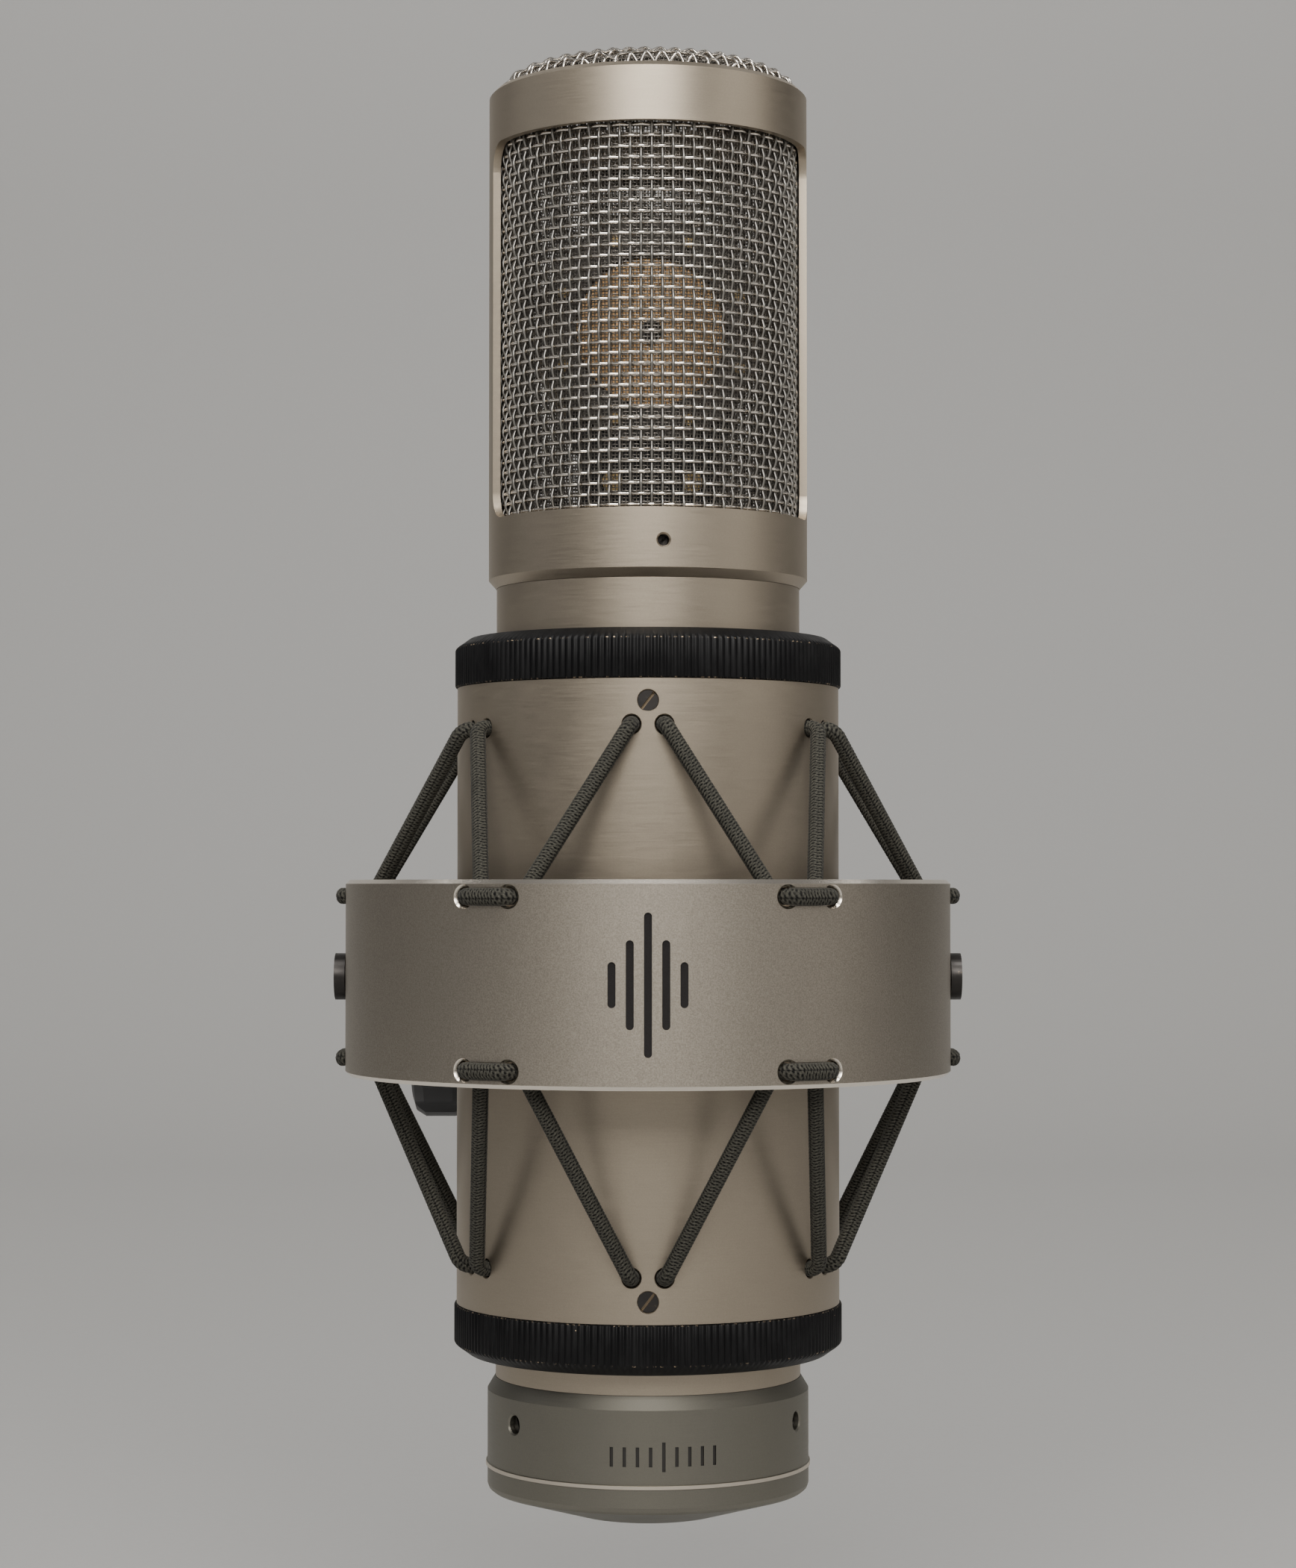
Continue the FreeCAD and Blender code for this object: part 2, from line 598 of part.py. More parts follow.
def clamp_end(end, side):
    """Bush, rubber, pressure ring and knurled collar of one end of the cradle."""
    bush = [
        ("bush_inner", "bush_foot"), ("sleeve_inner - fit_gap", "bush_foot"),
        ("sleeve_inner - fit_gap", "bush_top"), ("bush_wall_inner", "bush_top"),
        ("bush_wall_inner", "bush_seat"), ("bush_inner", "bush_seat"),
    ]
    body = turned(f"{end}_thread_bush", "cradle", flipped(bush, side))
    screw_hole = [
        ("bush_inner - 1", "0"), ("bush_inner - 1", "set_screw_radius + fit_gap"),
        ("sleeve_outer", "set_screw_radius + fit_gap"), ("sleeve_outer", "0"),
    ]
    drill(body, [f"{FRONT}"], f"{side} * set_screw_level", screw_hole, 3)
    rubber_top = "bush_seat + collar_web + 2.3"
    rubber = [
        ("rubber_inner", "bush_seat + fit_gap"), ("rubber_outer", "bush_seat + fit_gap"),
        ("rubber_outer", rubber_top), ("rubber_inner", rubber_top),
    ]
    turned(f"{end}_grip_rubber", "cradle", flipped(rubber, side))
    ring_low = f"{rubber_top} + fit_gap"
    ring_high = f"{ring_low} + pressure_height"
    pressure = [
        ("collar_bore + fit_gap", ring_low), ("rubber_outer", ring_low),
        ("rubber_outer", ring_high), ("collar_bore + fit_gap", ring_high),
    ]
    turned(f"{end}_pressure_ring", "cradle", flipped(pressure, side))
    foot = "sleeve_half + fit_gap"
    collar = [
        ("sleeve_inner", foot), ("collar_outer", foot),
        ("collar_outer", f"{foot} + collar_knurl"), ("collar_lip_outer", f"{foot} + collar_length"),
        ("collar_bore", f"{foot} + collar_length"),
        ("collar_bore", f"{foot} + collar_length - collar_web"),
        ("sleeve_inner", f"{foot} + collar_length - collar_web"),
    ]
    turned(f"{end}_collar", "cradle", flipped(collar, side))


def sleeve_set_screws():
    """Three slotted set screws at each end of the sleeve."""
    screws = []
    for step in range(3):
        for side in (1, -1):
            label = f"set_screw_{step}_{'low' if side < 0 else 'high'}"
            start = "sleeve_outer - 0.25 - set_screw_depth"
            level = f"{side} * set_screw_level"
            screws.append(grub_screw(label, FRONT + 120.0 * step, level, start,
                                     "set_screw_radius", "set_screw_depth"))
    gather("sleeve_set_screws", "cradle", screws)


# ---------------------------------------------------------------- stand adapter and swivel

def swivel_lug():
    """Eye between the fork's ears, with an arm up to the saddle face on the ring."""
    body = new_body("swivel_lug", "stand")
    back = "ring_outer - setback - 1"
    low, high = "ring_height - 9", "ring_height + 9"
    arm = [
        (back, low), (back, high), ("-12.5", high), ("lug_radius / 2", "pivot_height + lug_radius * 0.866"),
        ("lug_radius * -0.62", "pivot_height - lug_radius * 0.785"),
    ]
    sketch = new_sketch(body, "YZ_Plane")
    outline(sketch, arm)
    feature(body, "Pad", sketch, Length="2 * lug_half_width").Midplane = True
    doc.recompute()
    sketch = new_sketch(body, "YZ_Plane")
    circles(sketch, "lug_radius", [("0", "pivot_height")])
    feature(body, "Pad", sketch, Length="2 * lug_half_width").Midplane = True
    doc.recompute()
    sketch = new_sketch(body, "YZ_Plane")
    outline(sketch, [(back, low), (back, high), ("-15.5", high), ("-15.5", low)])
    feature(body, "Pad", sketch, Length="4 * lug_half_width").Midplane = True
    doc.recompute()
    for plane, radius, centre in (
        ("XY_Plane", "ring_outer + fit_gap", ("0", "-setback")),
        ("YZ_Plane", "bolt_radius + 0.1", ("0", "pivot_height")),
        ("XZ_Plane", "plug_shank + fit_gap", ("0", "ring_height")),
    ):
        before = body.Shape.Volume
        offset = "setback - ring_inner - lug_screw_reach - 0.3"
        sketch = new_sketch(body, plane, offset=offset if plane == "XZ_Plane" else "0")
        circles(sketch, radius, [centre])
        if plane == "XZ_Plane":
            hole = feature(body, "Pocket", sketch, Length="lug_screw_reach")
            hole.Reversed = True
        else:
            hole = feature(body, "Pocket", sketch, Length="200")
            hole.Midplane = True
        cut(body, hole, before)


def stand_adapter():
    """Barrel with the stand thread under a fork for the swivel."""
    corners = [
        ("stand_thread_radius", "0"), ("barrel_radius - 1", "0"), ("barrel_radius", "1"),
        ("barrel_radius", "barrel_top"), ("0", "barrel_top"), ("0", "thread_length"),
        ("stand_thread_radius", "thread_length"),
    ]
    body = turned("stand_adapter", "stand", corners)
    sketch = new_sketch(body, "YZ_Plane")
    outline(sketch, [("-ear_radius", "barrel_top - 1"), ("ear_radius", "barrel_top - 1"),
                     ("ear_radius", "pivot_height"), ("-ear_radius", "pivot_height")])
    feature(body, "Pad", sketch, Length="2 * ear_outer").Midplane = True
    doc.recompute()
    sketch = new_sketch(body, "YZ_Plane")
    circles(sketch, "ear_radius", [("0", "pivot_height")])
    feature(body, "Pad", sketch, Length="2 * ear_outer").Midplane = True
    doc.recompute()
    before = body.Shape.Volume
    sketch = new_sketch(body)
    outline(sketch, [("-ear_inner", "barrel_top + 3"), ("ear_inner", "barrel_top + 3"),
                     ("ear_inner", "pivot_height + 20"), ("-ear_inner", "pivot_height + 20")])
    slot = feature(body, "Pocket", sketch, Length="60")
    slot.Midplane = True
    cut(body, slot, before)
    before = body.Shape.Volume
    sketch = new_sketch(body, "YZ_Plane")
    circles(sketch, "bolt_radius + fit_gap", [("0", "pivot_height")])
    bore = feature(body, "Pocket", sketch, Length="60")
    bore.Midplane = True
    cut(body, bore, before)
    tube("thread_insert", "stand", "stand_thread_radius - fit_gap", "small_thread_radius", "0", "13")


def swivel_hardware():
    """Bolt with its friction washers, and the knob that tightens them."""
    side = {"z": "pivot_height"}
    head = "ear_outer + fit_gap"
    bolt = turned("swivel_bolt", "stand", [
        ("-bolt_end", "0"), ("-bolt_end", "bolt_radius"), (head, "bolt_radius"), (head, "bolt_head_radius"),
        (f"{head} + bolt_head_height - 0.6", "bolt_head_radius"),
        (f"{head} + bolt_head_height", "bolt_head_radius - 0.6"), (f"{head} + bolt_head_height", "0"),
    ], axis="H_Axis", **side)
    before = bolt.Shape.Volume
    sketch = new_sketch(bolt, "YZ_Plane", level=f"{head} + bolt_head_height")
    outline(sketch, spaced(3.4, 6))
    cut(bolt, feature(bolt, "Pocket", sketch, Length="3"), before)
    washers = []
    for number, start in enumerate(("lug_half_width + fit_gap", "fit_gap - ear_inner")):
        disc = primitive("Cylinder", f"washer_disc_{number}", (start, "0", "0"), (1, 0, 0),
                         Radius="washer_radius", Height="ear_inner - lug_half_width - 2 * fit_gap")
        hole = primitive("Cylinder", f"washer_hole_{number}", (start, "0", "0"), (1, 0, 0),
                         Radius="bolt_radius + fit_gap", Height="3")
        washers.append(boolean("Cut", f"washer_{number}", disc, hole))
    gather("swivel_washers", "stand", washers, **side)
    turned("knob_washer", "stand", [
        ("-knob_inner_face + fit_gap", "bolt_radius + fit_gap"),
        ("-knob_inner_face + fit_gap", "knob_washer_radius"),
        ("-ear_outer - fit_gap", "knob_washer_radius"), ("-ear_outer - fit_gap", "bolt_radius + fit_gap"),
    ], axis="H_Axis", **side)
    clamp_knob(side)


def clamp_knob(side):
    """Tapered knob, widest near its outer face, with a threaded brass insert."""
    face, end = "-knob_inner_face", "-knob_outer_face"
    knob = turned("clamp_knob", "stand", [
        (face, "insert_radius + fit_gap"), (face, "9.3"), (f"{face} - 1", "10"),
        (f"{end} + 7", "knob_radius"),
        (f"{end} + 2.2", "knob_radius"), (f"{end} + 0.6", "knob_radius - 1"), (end, "knob_radius - 3"),
        (end, "5"), (f"{end} + 0.8", "4"), (f"{end} + 0.8", "0"), ("-33", "0"), ("-33", "bolt_radius + 0.4"),
        (f"{face} - 16", "bolt_radius + 0.4"), (f"{face} - 16", "insert_radius + fit_gap"),
    ], axis="H_Axis", **side)
    before = knob.Shape.Volume
    sketch = new_sketch(knob, "YZ_Plane", level=f"{end} - 1")
    circles(sketch, "2.6", [("0", "knob_radius + 1.6")])
    flute = feature(knob, "Pocket", sketch, Length="40")
    cut(knob, flute, before)
    repeat(knob, [flute], 12, "X_Axis")
    turned("knob_insert", "stand", [
        (f"{face} - 15.9", "bolt_radius + fit_gap"), (f"{face} - 15.9", "insert_radius"),
        (face, "insert_radius"), (face, "bolt_radius + fit_gap"),
    ], axis="H_Axis", **side)


# ---------------------------------------------------------------- microphone head

def head_shell():
    """Head tube with two large round-cornered windows and an undercut lower edge."""
    body = turned("head_shell", "mic", [
        ("body_inner + 0.1", "neck_top"), ("head_inner", "neck_top"), ("head_outer", "head_bottom"),
        ("head_outer", "head_top - 0.7"), ("head_outer - 0.7", "head_top"), ("head_inner", "head_top"),
        ("head_inner", "head_base_top"), ("body_inner + 0.1", "head_base_top"),
    ])
    windows = []
    for side in (0, 180):
        before = body.Shape.Volume
        sketch = new_sketch(body, angle=f"{FRONT + side}")
        outline(sketch, [("head_inner - 1", "window_bottom"), ("head_outer + 1", "window_bottom"),
                         ("head_outer + 1", "window_top"), ("head_inner - 1", "window_top")])
        window = feature(body, "Groove", sketch, Angle="window_angle * 1 deg")
        window.ReferenceAxis = (sketch, ["V_Axis"])
        window.Midplane = True
        windows.append(cut(body, window, before))
    corners = []
    for number, edge in enumerate(body.Tip.Shape.Edges, 1):
        ends = [vertex.Point for vertex in edge.Vertexes]
        level = sum(point.z for point in ends) / len(ends)
        short = edge.Length < 2 * (SIZE["head_outer"] - SIZE["head_inner"])
        at_sill = min(abs(level - SIZE["window_bottom"]), abs(level - SIZE["window_top"])) < 1e-3
        if short and at_sill and isinstance(edge.Curve, Part.Line):
            corners.append(f"Edge{number}")
    dress(body, "Fillet", corners, "window_corner")
    hole = [
        ("body_inner - 1", "0"), ("body_inner - 1", "head_screw_radius + 0.1"),
        ("head_outer - 0.25", "head_screw_radius + 0.1"),
        ("head_outer + 0.25", "head_screw_radius + 0.6"), ("head_outer + 0.25", "0"),
    ]
    drill(body, [f"{FRONT}"], "head_screw_level", hole, 3)


def dome_layer(depth):
    """Outline of the pressed dome from rim to crown, at a depth below its outer surface."""
    shape = [("mesh_outer", 0.05), ("22.35", 0.34), ("21.4", 0.54), ("19.5", 0.72), ("16", 0.88),
             ("10", 0.975), ("0", 1.0)]
    return [(f"({radius}) * (1 - ({depth}) / mesh_outer)", f"head_top + dome_rise * {rise} - ({depth})")
            for radius, rise in shape]


def meshes():
    """Envelopes of the woven wire: coarse outside and fine inside, side wall and dome."""
    low, high = "window_bottom - 0.3", "window_top + 2"
    tube("side_mesh", "mic", "mesh_outer", "mesh_outer - 4 * wire_radius", low, high)
    tube("fine_side_mesh", "mic", "fine_mesh_outer", "fine_mesh_outer - 0.4", low, high)
    tube("mesh_retaining_ring", "mic", "head_inner - fit_gap", "fine_mesh_outer - 1.3",
         f"{high} + fit_gap", f"{high} + 3")
    for name, depth, thickness in (("dome_mesh", "0", "4 * wire_radius"), ("fine_dome_mesh", "1.15", "0.4")):
        outside = dome_layer(depth)
        inside = dome_layer(f"({depth}) + ({thickness})")
        foot = f"{high} + 3 + fit_gap"
        skin = [(outside[0][0], foot), *outside, *reversed(inside), (inside[0][0], foot)]
        turned(name, "mic", skin)


def capsule():
    """Double-diaphragm capsule: two back plates, diaphragms, tension rings and their screws."""
    terminals, screws = [], []
    for side, turn in (("front", "-90"), ("rear", "90")):
        where = {"z": "capsule_height", "turn": turn}
        plate = turned(f"capsule_plate_{side}", "mic", [
            ("0.05", "0"), ("0.05", "capsule_radius"), ("capsule_half - 1.2", "capsule_radius"),
            ("capsule_half - 1.2", "0"),
        ], axis="H_Axis", **where)
        before = plate.Shape.Volume
        sketch = new_sketch(plate, "YZ_Plane", level="capsule_half - 1.2")
        holes = spaced(4.0, 6) + spaced(7.5, 12)
        circles(sketch, "0.45", holes)
        cut(plate, feature(plate, "Pocket", sketch, Length="2"), before)
        turned(f"diaphragm_{side}", "mic", [
            ("capsule_half - 1.15", "0"), ("capsule_half - 1.15", "diaphragm_radius + 1.5"),
            ("capsule_half - 1", "diaphragm_radius + 1.5"), ("capsule_half - 1", "0"),
        ], axis="H_Axis", **where)
        turned(f"diaphragm_ring_{side}", "mic", [
            ("capsule_half - 0.95", "diaphragm_radius"), ("capsule_half - 0.95", "capsule_radius"),
            ("capsule_half - 0.3", "capsule_radius"), ("capsule_half", "capsule_radius - 0.3"),
            ("capsule_half", "diaphragm_radius + 0.3"), ("capsule_half - 0.3", "diaphragm_radius"),
        ], axis="H_Axis", **where)
        sign = -1 if side == "front" else 1
        face = SIZE["capsule_half"]
        terminals.append(primitive("Cylinder", f"terminal_{side}", (0, f"{sign} * (capsule_half - 0.95)", 0),
                                   (0, sign, 0), Radius="1.6", Height="1.4"))
        for step in range(8):
            spin = (step + 0.5) * math.tau / 8
            radius = SIZE["capsule_radius"] - 2.6
            spot = (radius * math.cos(spin), sign * (face + 0.03), radius * math.sin(spin))
            screws.append(primitive("Cylinder", f"tension_screw_{side}_{step}", spot, (0, sign, 0),
                                    Radius="0.85", Height="0.5"))
    gather("capsule_terminals", "mic", terminals, z="capsule_height")
    gather("capsule_screws", "mic", screws, z="capsule_height")


def capsule_mount():
    """Black saddle under the capsule, on a rubber isolator and the head base."""
    saddle = new_body("capsule_saddle", "mic")
    sketch = new_sketch(saddle)
    top = "capsule_height - capsule_radius + 5"
    outline(sketch, [
        ("-saddle_half_width", "saddle_bottom"), ("saddle_half_width", "saddle_bottom"),
        ("saddle_half_width", "saddle_bottom + 8"), ("saddle_half_width + 2.4", f"{top} - 2"),
        ("saddle_half_width + 2.4", top), ("-saddle_half_width - 2.4", top),
        ("-saddle_half_width - 2.4", f"{top} - 2"), ("-saddle_half_width", "saddle_bottom + 8"),
    ])
    feature(saddle, "Pad", sketch, Length="2 * saddle_half_depth").Midplane = True
    doc.recompute()
    for radius, centres, length in (
        ("capsule_radius + fit_gap", [("0", "capsule_height")], "60"),
        ("0.9", [("-6", "saddle_bottom + 3.2"), ("6", "saddle_bottom + 3.2")], "8"),
    ):
        before = saddle.Shape.Volume
        whole = length == "60"
        sketch = new_sketch(saddle, offset="0" if whole else "saddle_half_depth")
        circles(sketch, radius, centres)
        hole = feature(saddle, "Pocket", sketch, Length=length)
        hole.Midplane = whole
        cut(saddle, hole, before)
    screws = []
    for step, across in enumerate((-6.0, 6.0)):
        spot = (across, -SIZE["saddle_half_depth"] + 6.0, SIZE["saddle_bottom"] + 3.2)
        screws.append(socket_screw(f"saddle_screw_{step}", spot, (0, -1, 0), ("0.85", "6.05"),
                                   ("1.5", "0.8"), "0.5"))
    gather("saddle_screws", "mic", screws)
    tube("saddle_isolator", "mic", "5.9", "2.5", "head_base_top + fit_gap", "saddle_bottom - fit_gap")
    base = tube("head_base", "mic", "body_inner + fit_gap", "2.5", "head_base_bottom", "head_base_top - 0.02")
    pilot_holes(base, FRONT, "head_screw_level", "head_screw_radius")
    screws = [grub_screw(f"head_screw_{step}", FRONT + 120 * step, "head_screw_level", "head_outer - 6.4",
                         "head_screw_radius", "4.6") for step in range(3)]
    gather("head_screws", "mic", screws)


# ---------------------------------------------------------------- microphone body

def box(name, lows, highs):
    """A box between two corners, each given as three expressions."""
    made = doc.addObject("Part::Box", name)
    for side, letter, low, high in zip(("Length", "Width", "Height"), "xyz", lows, highs):
        bind(made, **{side: f"({high}) - ({low})", "Placement.Base." + letter: low})
    return made


def electronics():
    """Circuit board on two rails with the amplifier tube, its socket and clip, and capacitors."""
    top = "head_base_bottom - fit_gap"
    rails = [
        box("rail_left", ("-rail_offset - 1", "-3", "18.1"), ("-rail_offset + 1", "3", top)),
        box("rail_right", ("rail_offset - 1", "-3", "18.1"), ("rail_offset + 1", "3", top)),
    ]
    gather("chassis_rails", "mic", rails)
    board = box("board", ("-board_half_width", "0.6", "board_bottom"),
                ("board_half_width", "2.2", "board_top"))
    gather("circuit_board", "mic", [board])
    reach = "board_half_width - 10"
    for name, low, high, bore in (
        ("tube_socket", "valve_bottom - 6", "valve_bottom - fit_gap", "1.2"),
        ("tube_clip", "valve_bottom + 18", "valve_bottom + 22", "valve_radius + fit_gap"),
    ):
        block = box(name + "_block", (f"-({reach})", "-14.5", low), (reach, "0.55", high))
        hole = primitive("Cylinder", name + "_bore", ("0", "-7.5", f"{low} - 1"), Radius=bore, Height="10")
        gather(name, "mic", [boolean("Cut", name + "_cut", block, hole)])
    turned("amplifier_tube", "mic", [
        ("0", "valve_bottom"), ("valve_radius", "valve_bottom"), ("valve_radius", "valve_top - 5"),
        ("valve_radius * 0.86", "valve_top - 2.8"), ("valve_radius * 0.5", "valve_top - 1.4"),
        ("0.9", "valve_top - 1.1"), ("0.5", "valve_top"), ("0", "valve_top"),
    ], x="0", y="-7.5")
    caps = [
        primitive("Cylinder", "film_capacitor_left", ("-8", "-5", "56"), Radius="4.5", Height="20"),
        primitive("Cylinder", "film_capacitor_right", ("8", "-5", "56"), Radius="4.5", Height="20"),
        box("coupling_capacitor", ("-8", "2.3", "96"), ("8", "10.3", "118")),
        primitive("Cylinder", "electrolytic", ("0", "8.4", "58"), Radius="5.5", Height="24"),
    ]
    gather("capacitors", "mic", caps)


def transformer():
    """Output transformer: laminated core with two windows, winding and rubber pad."""
    plate_top = "18.1"
    gather("transformer_pad", "mic", [box("pad", ("-12", "-7", plate_top), ("12", "7", "19.95"))])
    core = box("core_block", ("-12", "-7", "20"), ("12", "7", "46"))
    for step, (low, high) in enumerate((("4", "8.4"), ("-8.4", "-4"))):
        window = box(f"core_window_{step}", (low, "-8", "25"), (high, "8", "41"))
        core = boolean("Cut", f"core_cut_{step}", core, window)
    gather("transformer_core", "mic", [core])
    winding = box("winding_block", ("-8.2", "-9.8", "25.2"), ("8.2", "9.8", "40.8"))
    opening = box("winding_opening", ("-4.1", "-7.1", "25"), ("4.1", "7.1", "41"))
    gather("transformer_coil", "mic", [boolean("Cut", "winding", winding, opening)])


def body_and_base():
    """Body tube, bottom plate and the base cup with its scale, bead and radial screws."""
    tube("body_tube", "mic", "body_outer", "body_inner", "base_top + fit_gap", "neck_top - fit_gap")
    plate = tube("bottom_plate", "mic", "body_inner", "shell_outer + 0.1", "12", "18")
    screw_angle = FRONT + 60.0
    pilot_holes(plate, screw_angle, "base_screw_level", "base_screw_radius")
    bead_low, bead_high = "base_edge + 3.1", "base_edge + 3.6"
    corners = [
        ("shell_outer + 0.1", "0"), ("base_flat", "0"), ("head_outer - 0.7", "base_edge - 0.6"),
        ("head_outer - 0.2", "base_edge - 0.2"), ("head_outer", "base_edge + 0.4"),
        ("head_outer", f"{bead_low} - 0.1"), ("head_outer + bead_height", bead_low),
        ("head_outer + bead_height", bead_high), ("head_outer", f"{bead_high} + 0.1"),
        ("head_outer", "base_top - base_chamfer"), ("body_outer + fit_gap", "base_top"),
        ("body_inner + 0.1", "base_top"), ("body_inner + 0.1", "base_edge + 3"),
        ("shell_outer + 0.1", "base_edge + 3"),
    ]
    base = turned("base_cup", "mic", corners)
    hole = [
        ("body_inner - 1", "0"), ("body_inner - 1", "base_screw_radius + 0.15"),
        ("head_outer - 0.25", "base_screw_radius + 0.15"),
        ("head_outer + 0.25", "base_screw_radius + 0.65"), ("head_outer + 0.25", "0"),
    ]
    drill(base, [f"{screw_angle}"], "base_screw_level", hole, 3)
    index_scale(base)
    screws = [grub_screw(f"base_screw_{step}", screw_angle + 120 * step, "base_screw_level",
                         "head_outer - 6.4", "base_screw_radius", "5.5") for step in range(3)]
    gather("base_screws", "mic", screws)


def index_scale(base):
    """Engraved aiming scale: nine ticks round the front, the middle one longer."""
    for spread, count, half_height in ((-18.0, 9, 1.4), (0.0, 1, 2.1)):
        before = base.Shape.Volume
        sketch = new_sketch(base, angle=f"{spread}", offset="head_outer + 1")
        low, high = f"tick_level - {half_height}", f"tick_level + {half_height}"
        outline(sketch, [("-tick_half_width", low), ("tick_half_width", low),
                         ("tick_half_width", high), ("-tick_half_width", high)])
        tick = cut(base, feature(base, "Pocket", sketch, Length="1 + tick_depth"), before)
        if count > 1:
            repeat(base, [tick], count).Angle = -2 * spread
            doc.recompute()


def connector():
    """Seven-pin connector recessed in the base: shell, insulating insert and pins."""
    tube("connector_shell", "mic", "shell_outer", "shell_inner", "0.3", "16")
    insert = turned("connector_insert", "mic", [
        ("0", "6"), ("shell_inner - fit_gap", "6"), ("shell_inner - fit_gap", "14"), ("0", "14"),
    ])
    spots = [("0", "0")] + spaced(SIZE["pin_circle"], 6)
    before = insert.Shape.Volume
    sketch = new_sketch(insert, "XY_Plane", level="6")
    circles(sketch, "pin_radius", spots)
    cut(insert, feature(insert, "Pocket", sketch, Length="4"), before)
    pins = [primitive("Cylinder", f"pin_{number}", (across, up, "1.2"), Radius="pin_radius - fit_gap",
                      Height="8.7") for number, (across, up) in enumerate(spots)]
    gather("connector_pins", "mic", pins)


def check_and_export():
    """Refuse to write anything unless every object and every sub-part is sound."""
    doc.recompute()
    broken = [item.Name for item in doc.Objects if {"Invalid", "Error"} & set(item.State)]
    if broken:
        raise RuntimeError(f"failed objects: {broken}")
    for item in parts:
        if item.Shape.isNull() or not item.Shape.isValid() or item.Shape.Volume <= 0:
            raise RuntimeError(f"bad shape: {item.Label}")
    os.makedirs("parts", exist_ok=True)
    for item in parts:
        item.Shape.exportStep(f"parts/{item.Label}.step")
    print(len(parts), "sub-parts written")


fill_sheet()
suspension_ring()
ring_screws()
elastic("upper_elastic", 1)
elastic("lower_elastic", -1)
cradle_sleeve()
clamp_end("upper", 1)
clamp_end("lower", -1)
sleeve_set_screws()
swivel_lug()
stand_adapter()
swivel_hardware()
head_shell()
meshes()
capsule()
capsule_mount()
electronics()
transformer()
body_and_base()
connector()
check_and_export()
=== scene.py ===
"""Studio view of a condenser microphone clamped in its elastic shock mount.

Metres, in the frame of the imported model: +Z up, the microphone's front faces -Y.  The woven
wire, the elastic cords and the knurled collars are built here; the other parts keep their
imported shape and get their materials.
"""
import math

import bpy
import numpy as np
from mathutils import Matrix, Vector


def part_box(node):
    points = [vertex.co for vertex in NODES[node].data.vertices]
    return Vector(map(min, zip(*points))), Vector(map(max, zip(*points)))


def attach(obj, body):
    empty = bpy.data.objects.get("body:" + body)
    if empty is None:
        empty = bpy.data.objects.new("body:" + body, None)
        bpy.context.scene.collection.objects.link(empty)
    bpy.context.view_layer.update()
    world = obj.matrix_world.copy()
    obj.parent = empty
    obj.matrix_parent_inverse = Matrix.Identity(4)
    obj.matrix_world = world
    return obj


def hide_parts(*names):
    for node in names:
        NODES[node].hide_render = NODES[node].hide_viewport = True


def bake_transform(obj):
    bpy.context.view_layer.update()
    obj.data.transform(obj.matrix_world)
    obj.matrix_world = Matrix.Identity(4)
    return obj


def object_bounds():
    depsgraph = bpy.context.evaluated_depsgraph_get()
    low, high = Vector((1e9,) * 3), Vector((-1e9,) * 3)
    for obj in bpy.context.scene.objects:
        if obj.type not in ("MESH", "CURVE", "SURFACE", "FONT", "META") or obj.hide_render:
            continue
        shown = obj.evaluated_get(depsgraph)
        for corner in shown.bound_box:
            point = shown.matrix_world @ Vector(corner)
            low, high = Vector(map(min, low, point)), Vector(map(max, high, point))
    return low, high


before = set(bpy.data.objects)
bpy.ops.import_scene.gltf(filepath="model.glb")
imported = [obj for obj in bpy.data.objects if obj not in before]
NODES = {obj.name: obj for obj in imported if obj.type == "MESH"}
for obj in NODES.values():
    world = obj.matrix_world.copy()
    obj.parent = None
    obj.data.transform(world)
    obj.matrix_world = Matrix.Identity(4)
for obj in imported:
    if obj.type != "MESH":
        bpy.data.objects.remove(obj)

CAD_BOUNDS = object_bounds()
MM = 0.001
TAU = math.tau

# ------------------------------------------------------------------ places read from the frame

ring_low, ring_high = (Vector(corner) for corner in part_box("suspension_ring"))
sleeve_low, sleeve_high = (Vector(corner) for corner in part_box("cradle_sleeve"))
head_high = Vector(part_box("head_shell")[1])
mesh_low, mesh_high = (Vector(corner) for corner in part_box("side_mesh"))
fine_low, fine_high = (Vector(corner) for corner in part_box("fine_side_mesh"))
dome_low, dome_high = (Vector(corner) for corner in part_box("dome_mesh"))
base_low, base_high = (Vector(corner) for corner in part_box("base_cup"))

AXIS_X = (ring_low.x + ring_high.x) / 2
AXIS_Y = (ring_low.y + ring_high.y) / 2
RING_RADIUS = (ring_high.x - ring_low.x) / 2
RING_LEVEL = (ring_low.z + ring_high.z) / 2
SLEEVE_RADIUS = (sleeve_high.x - sleeve_low.x) / 2
SLEEVE_LEVEL = (sleeve_low.z + sleeve_high.z) / 2
MIC_BOTTOM = base_low.z
SCALE_LEVEL = MIC_BOTTOM + 11.7 * MM

# ------------------------------------------------------------------ sizes of what is built here

AIM = math.radians(5.4)
FRONT = -math.pi / 2
SIXTH = math.radians(60)
TILT_ROOM = 46 * MM

WIRE_RADIUS, FINE_WIRE_RADIUS = 0.235 * MM, 0.112 * MM
WIRE_PITCH, FINE_PITCH, FINE_DOME_PITCH = 1.5875 * MM, 0.52 * MM, 0.55 * MM
UPRIGHTS, FINE_UPRIGHTS = 90, 256

FLUTES, POINTS_PER_FLUTE = 184, 6
FLUTE_DEPTH = 0.26 * MM

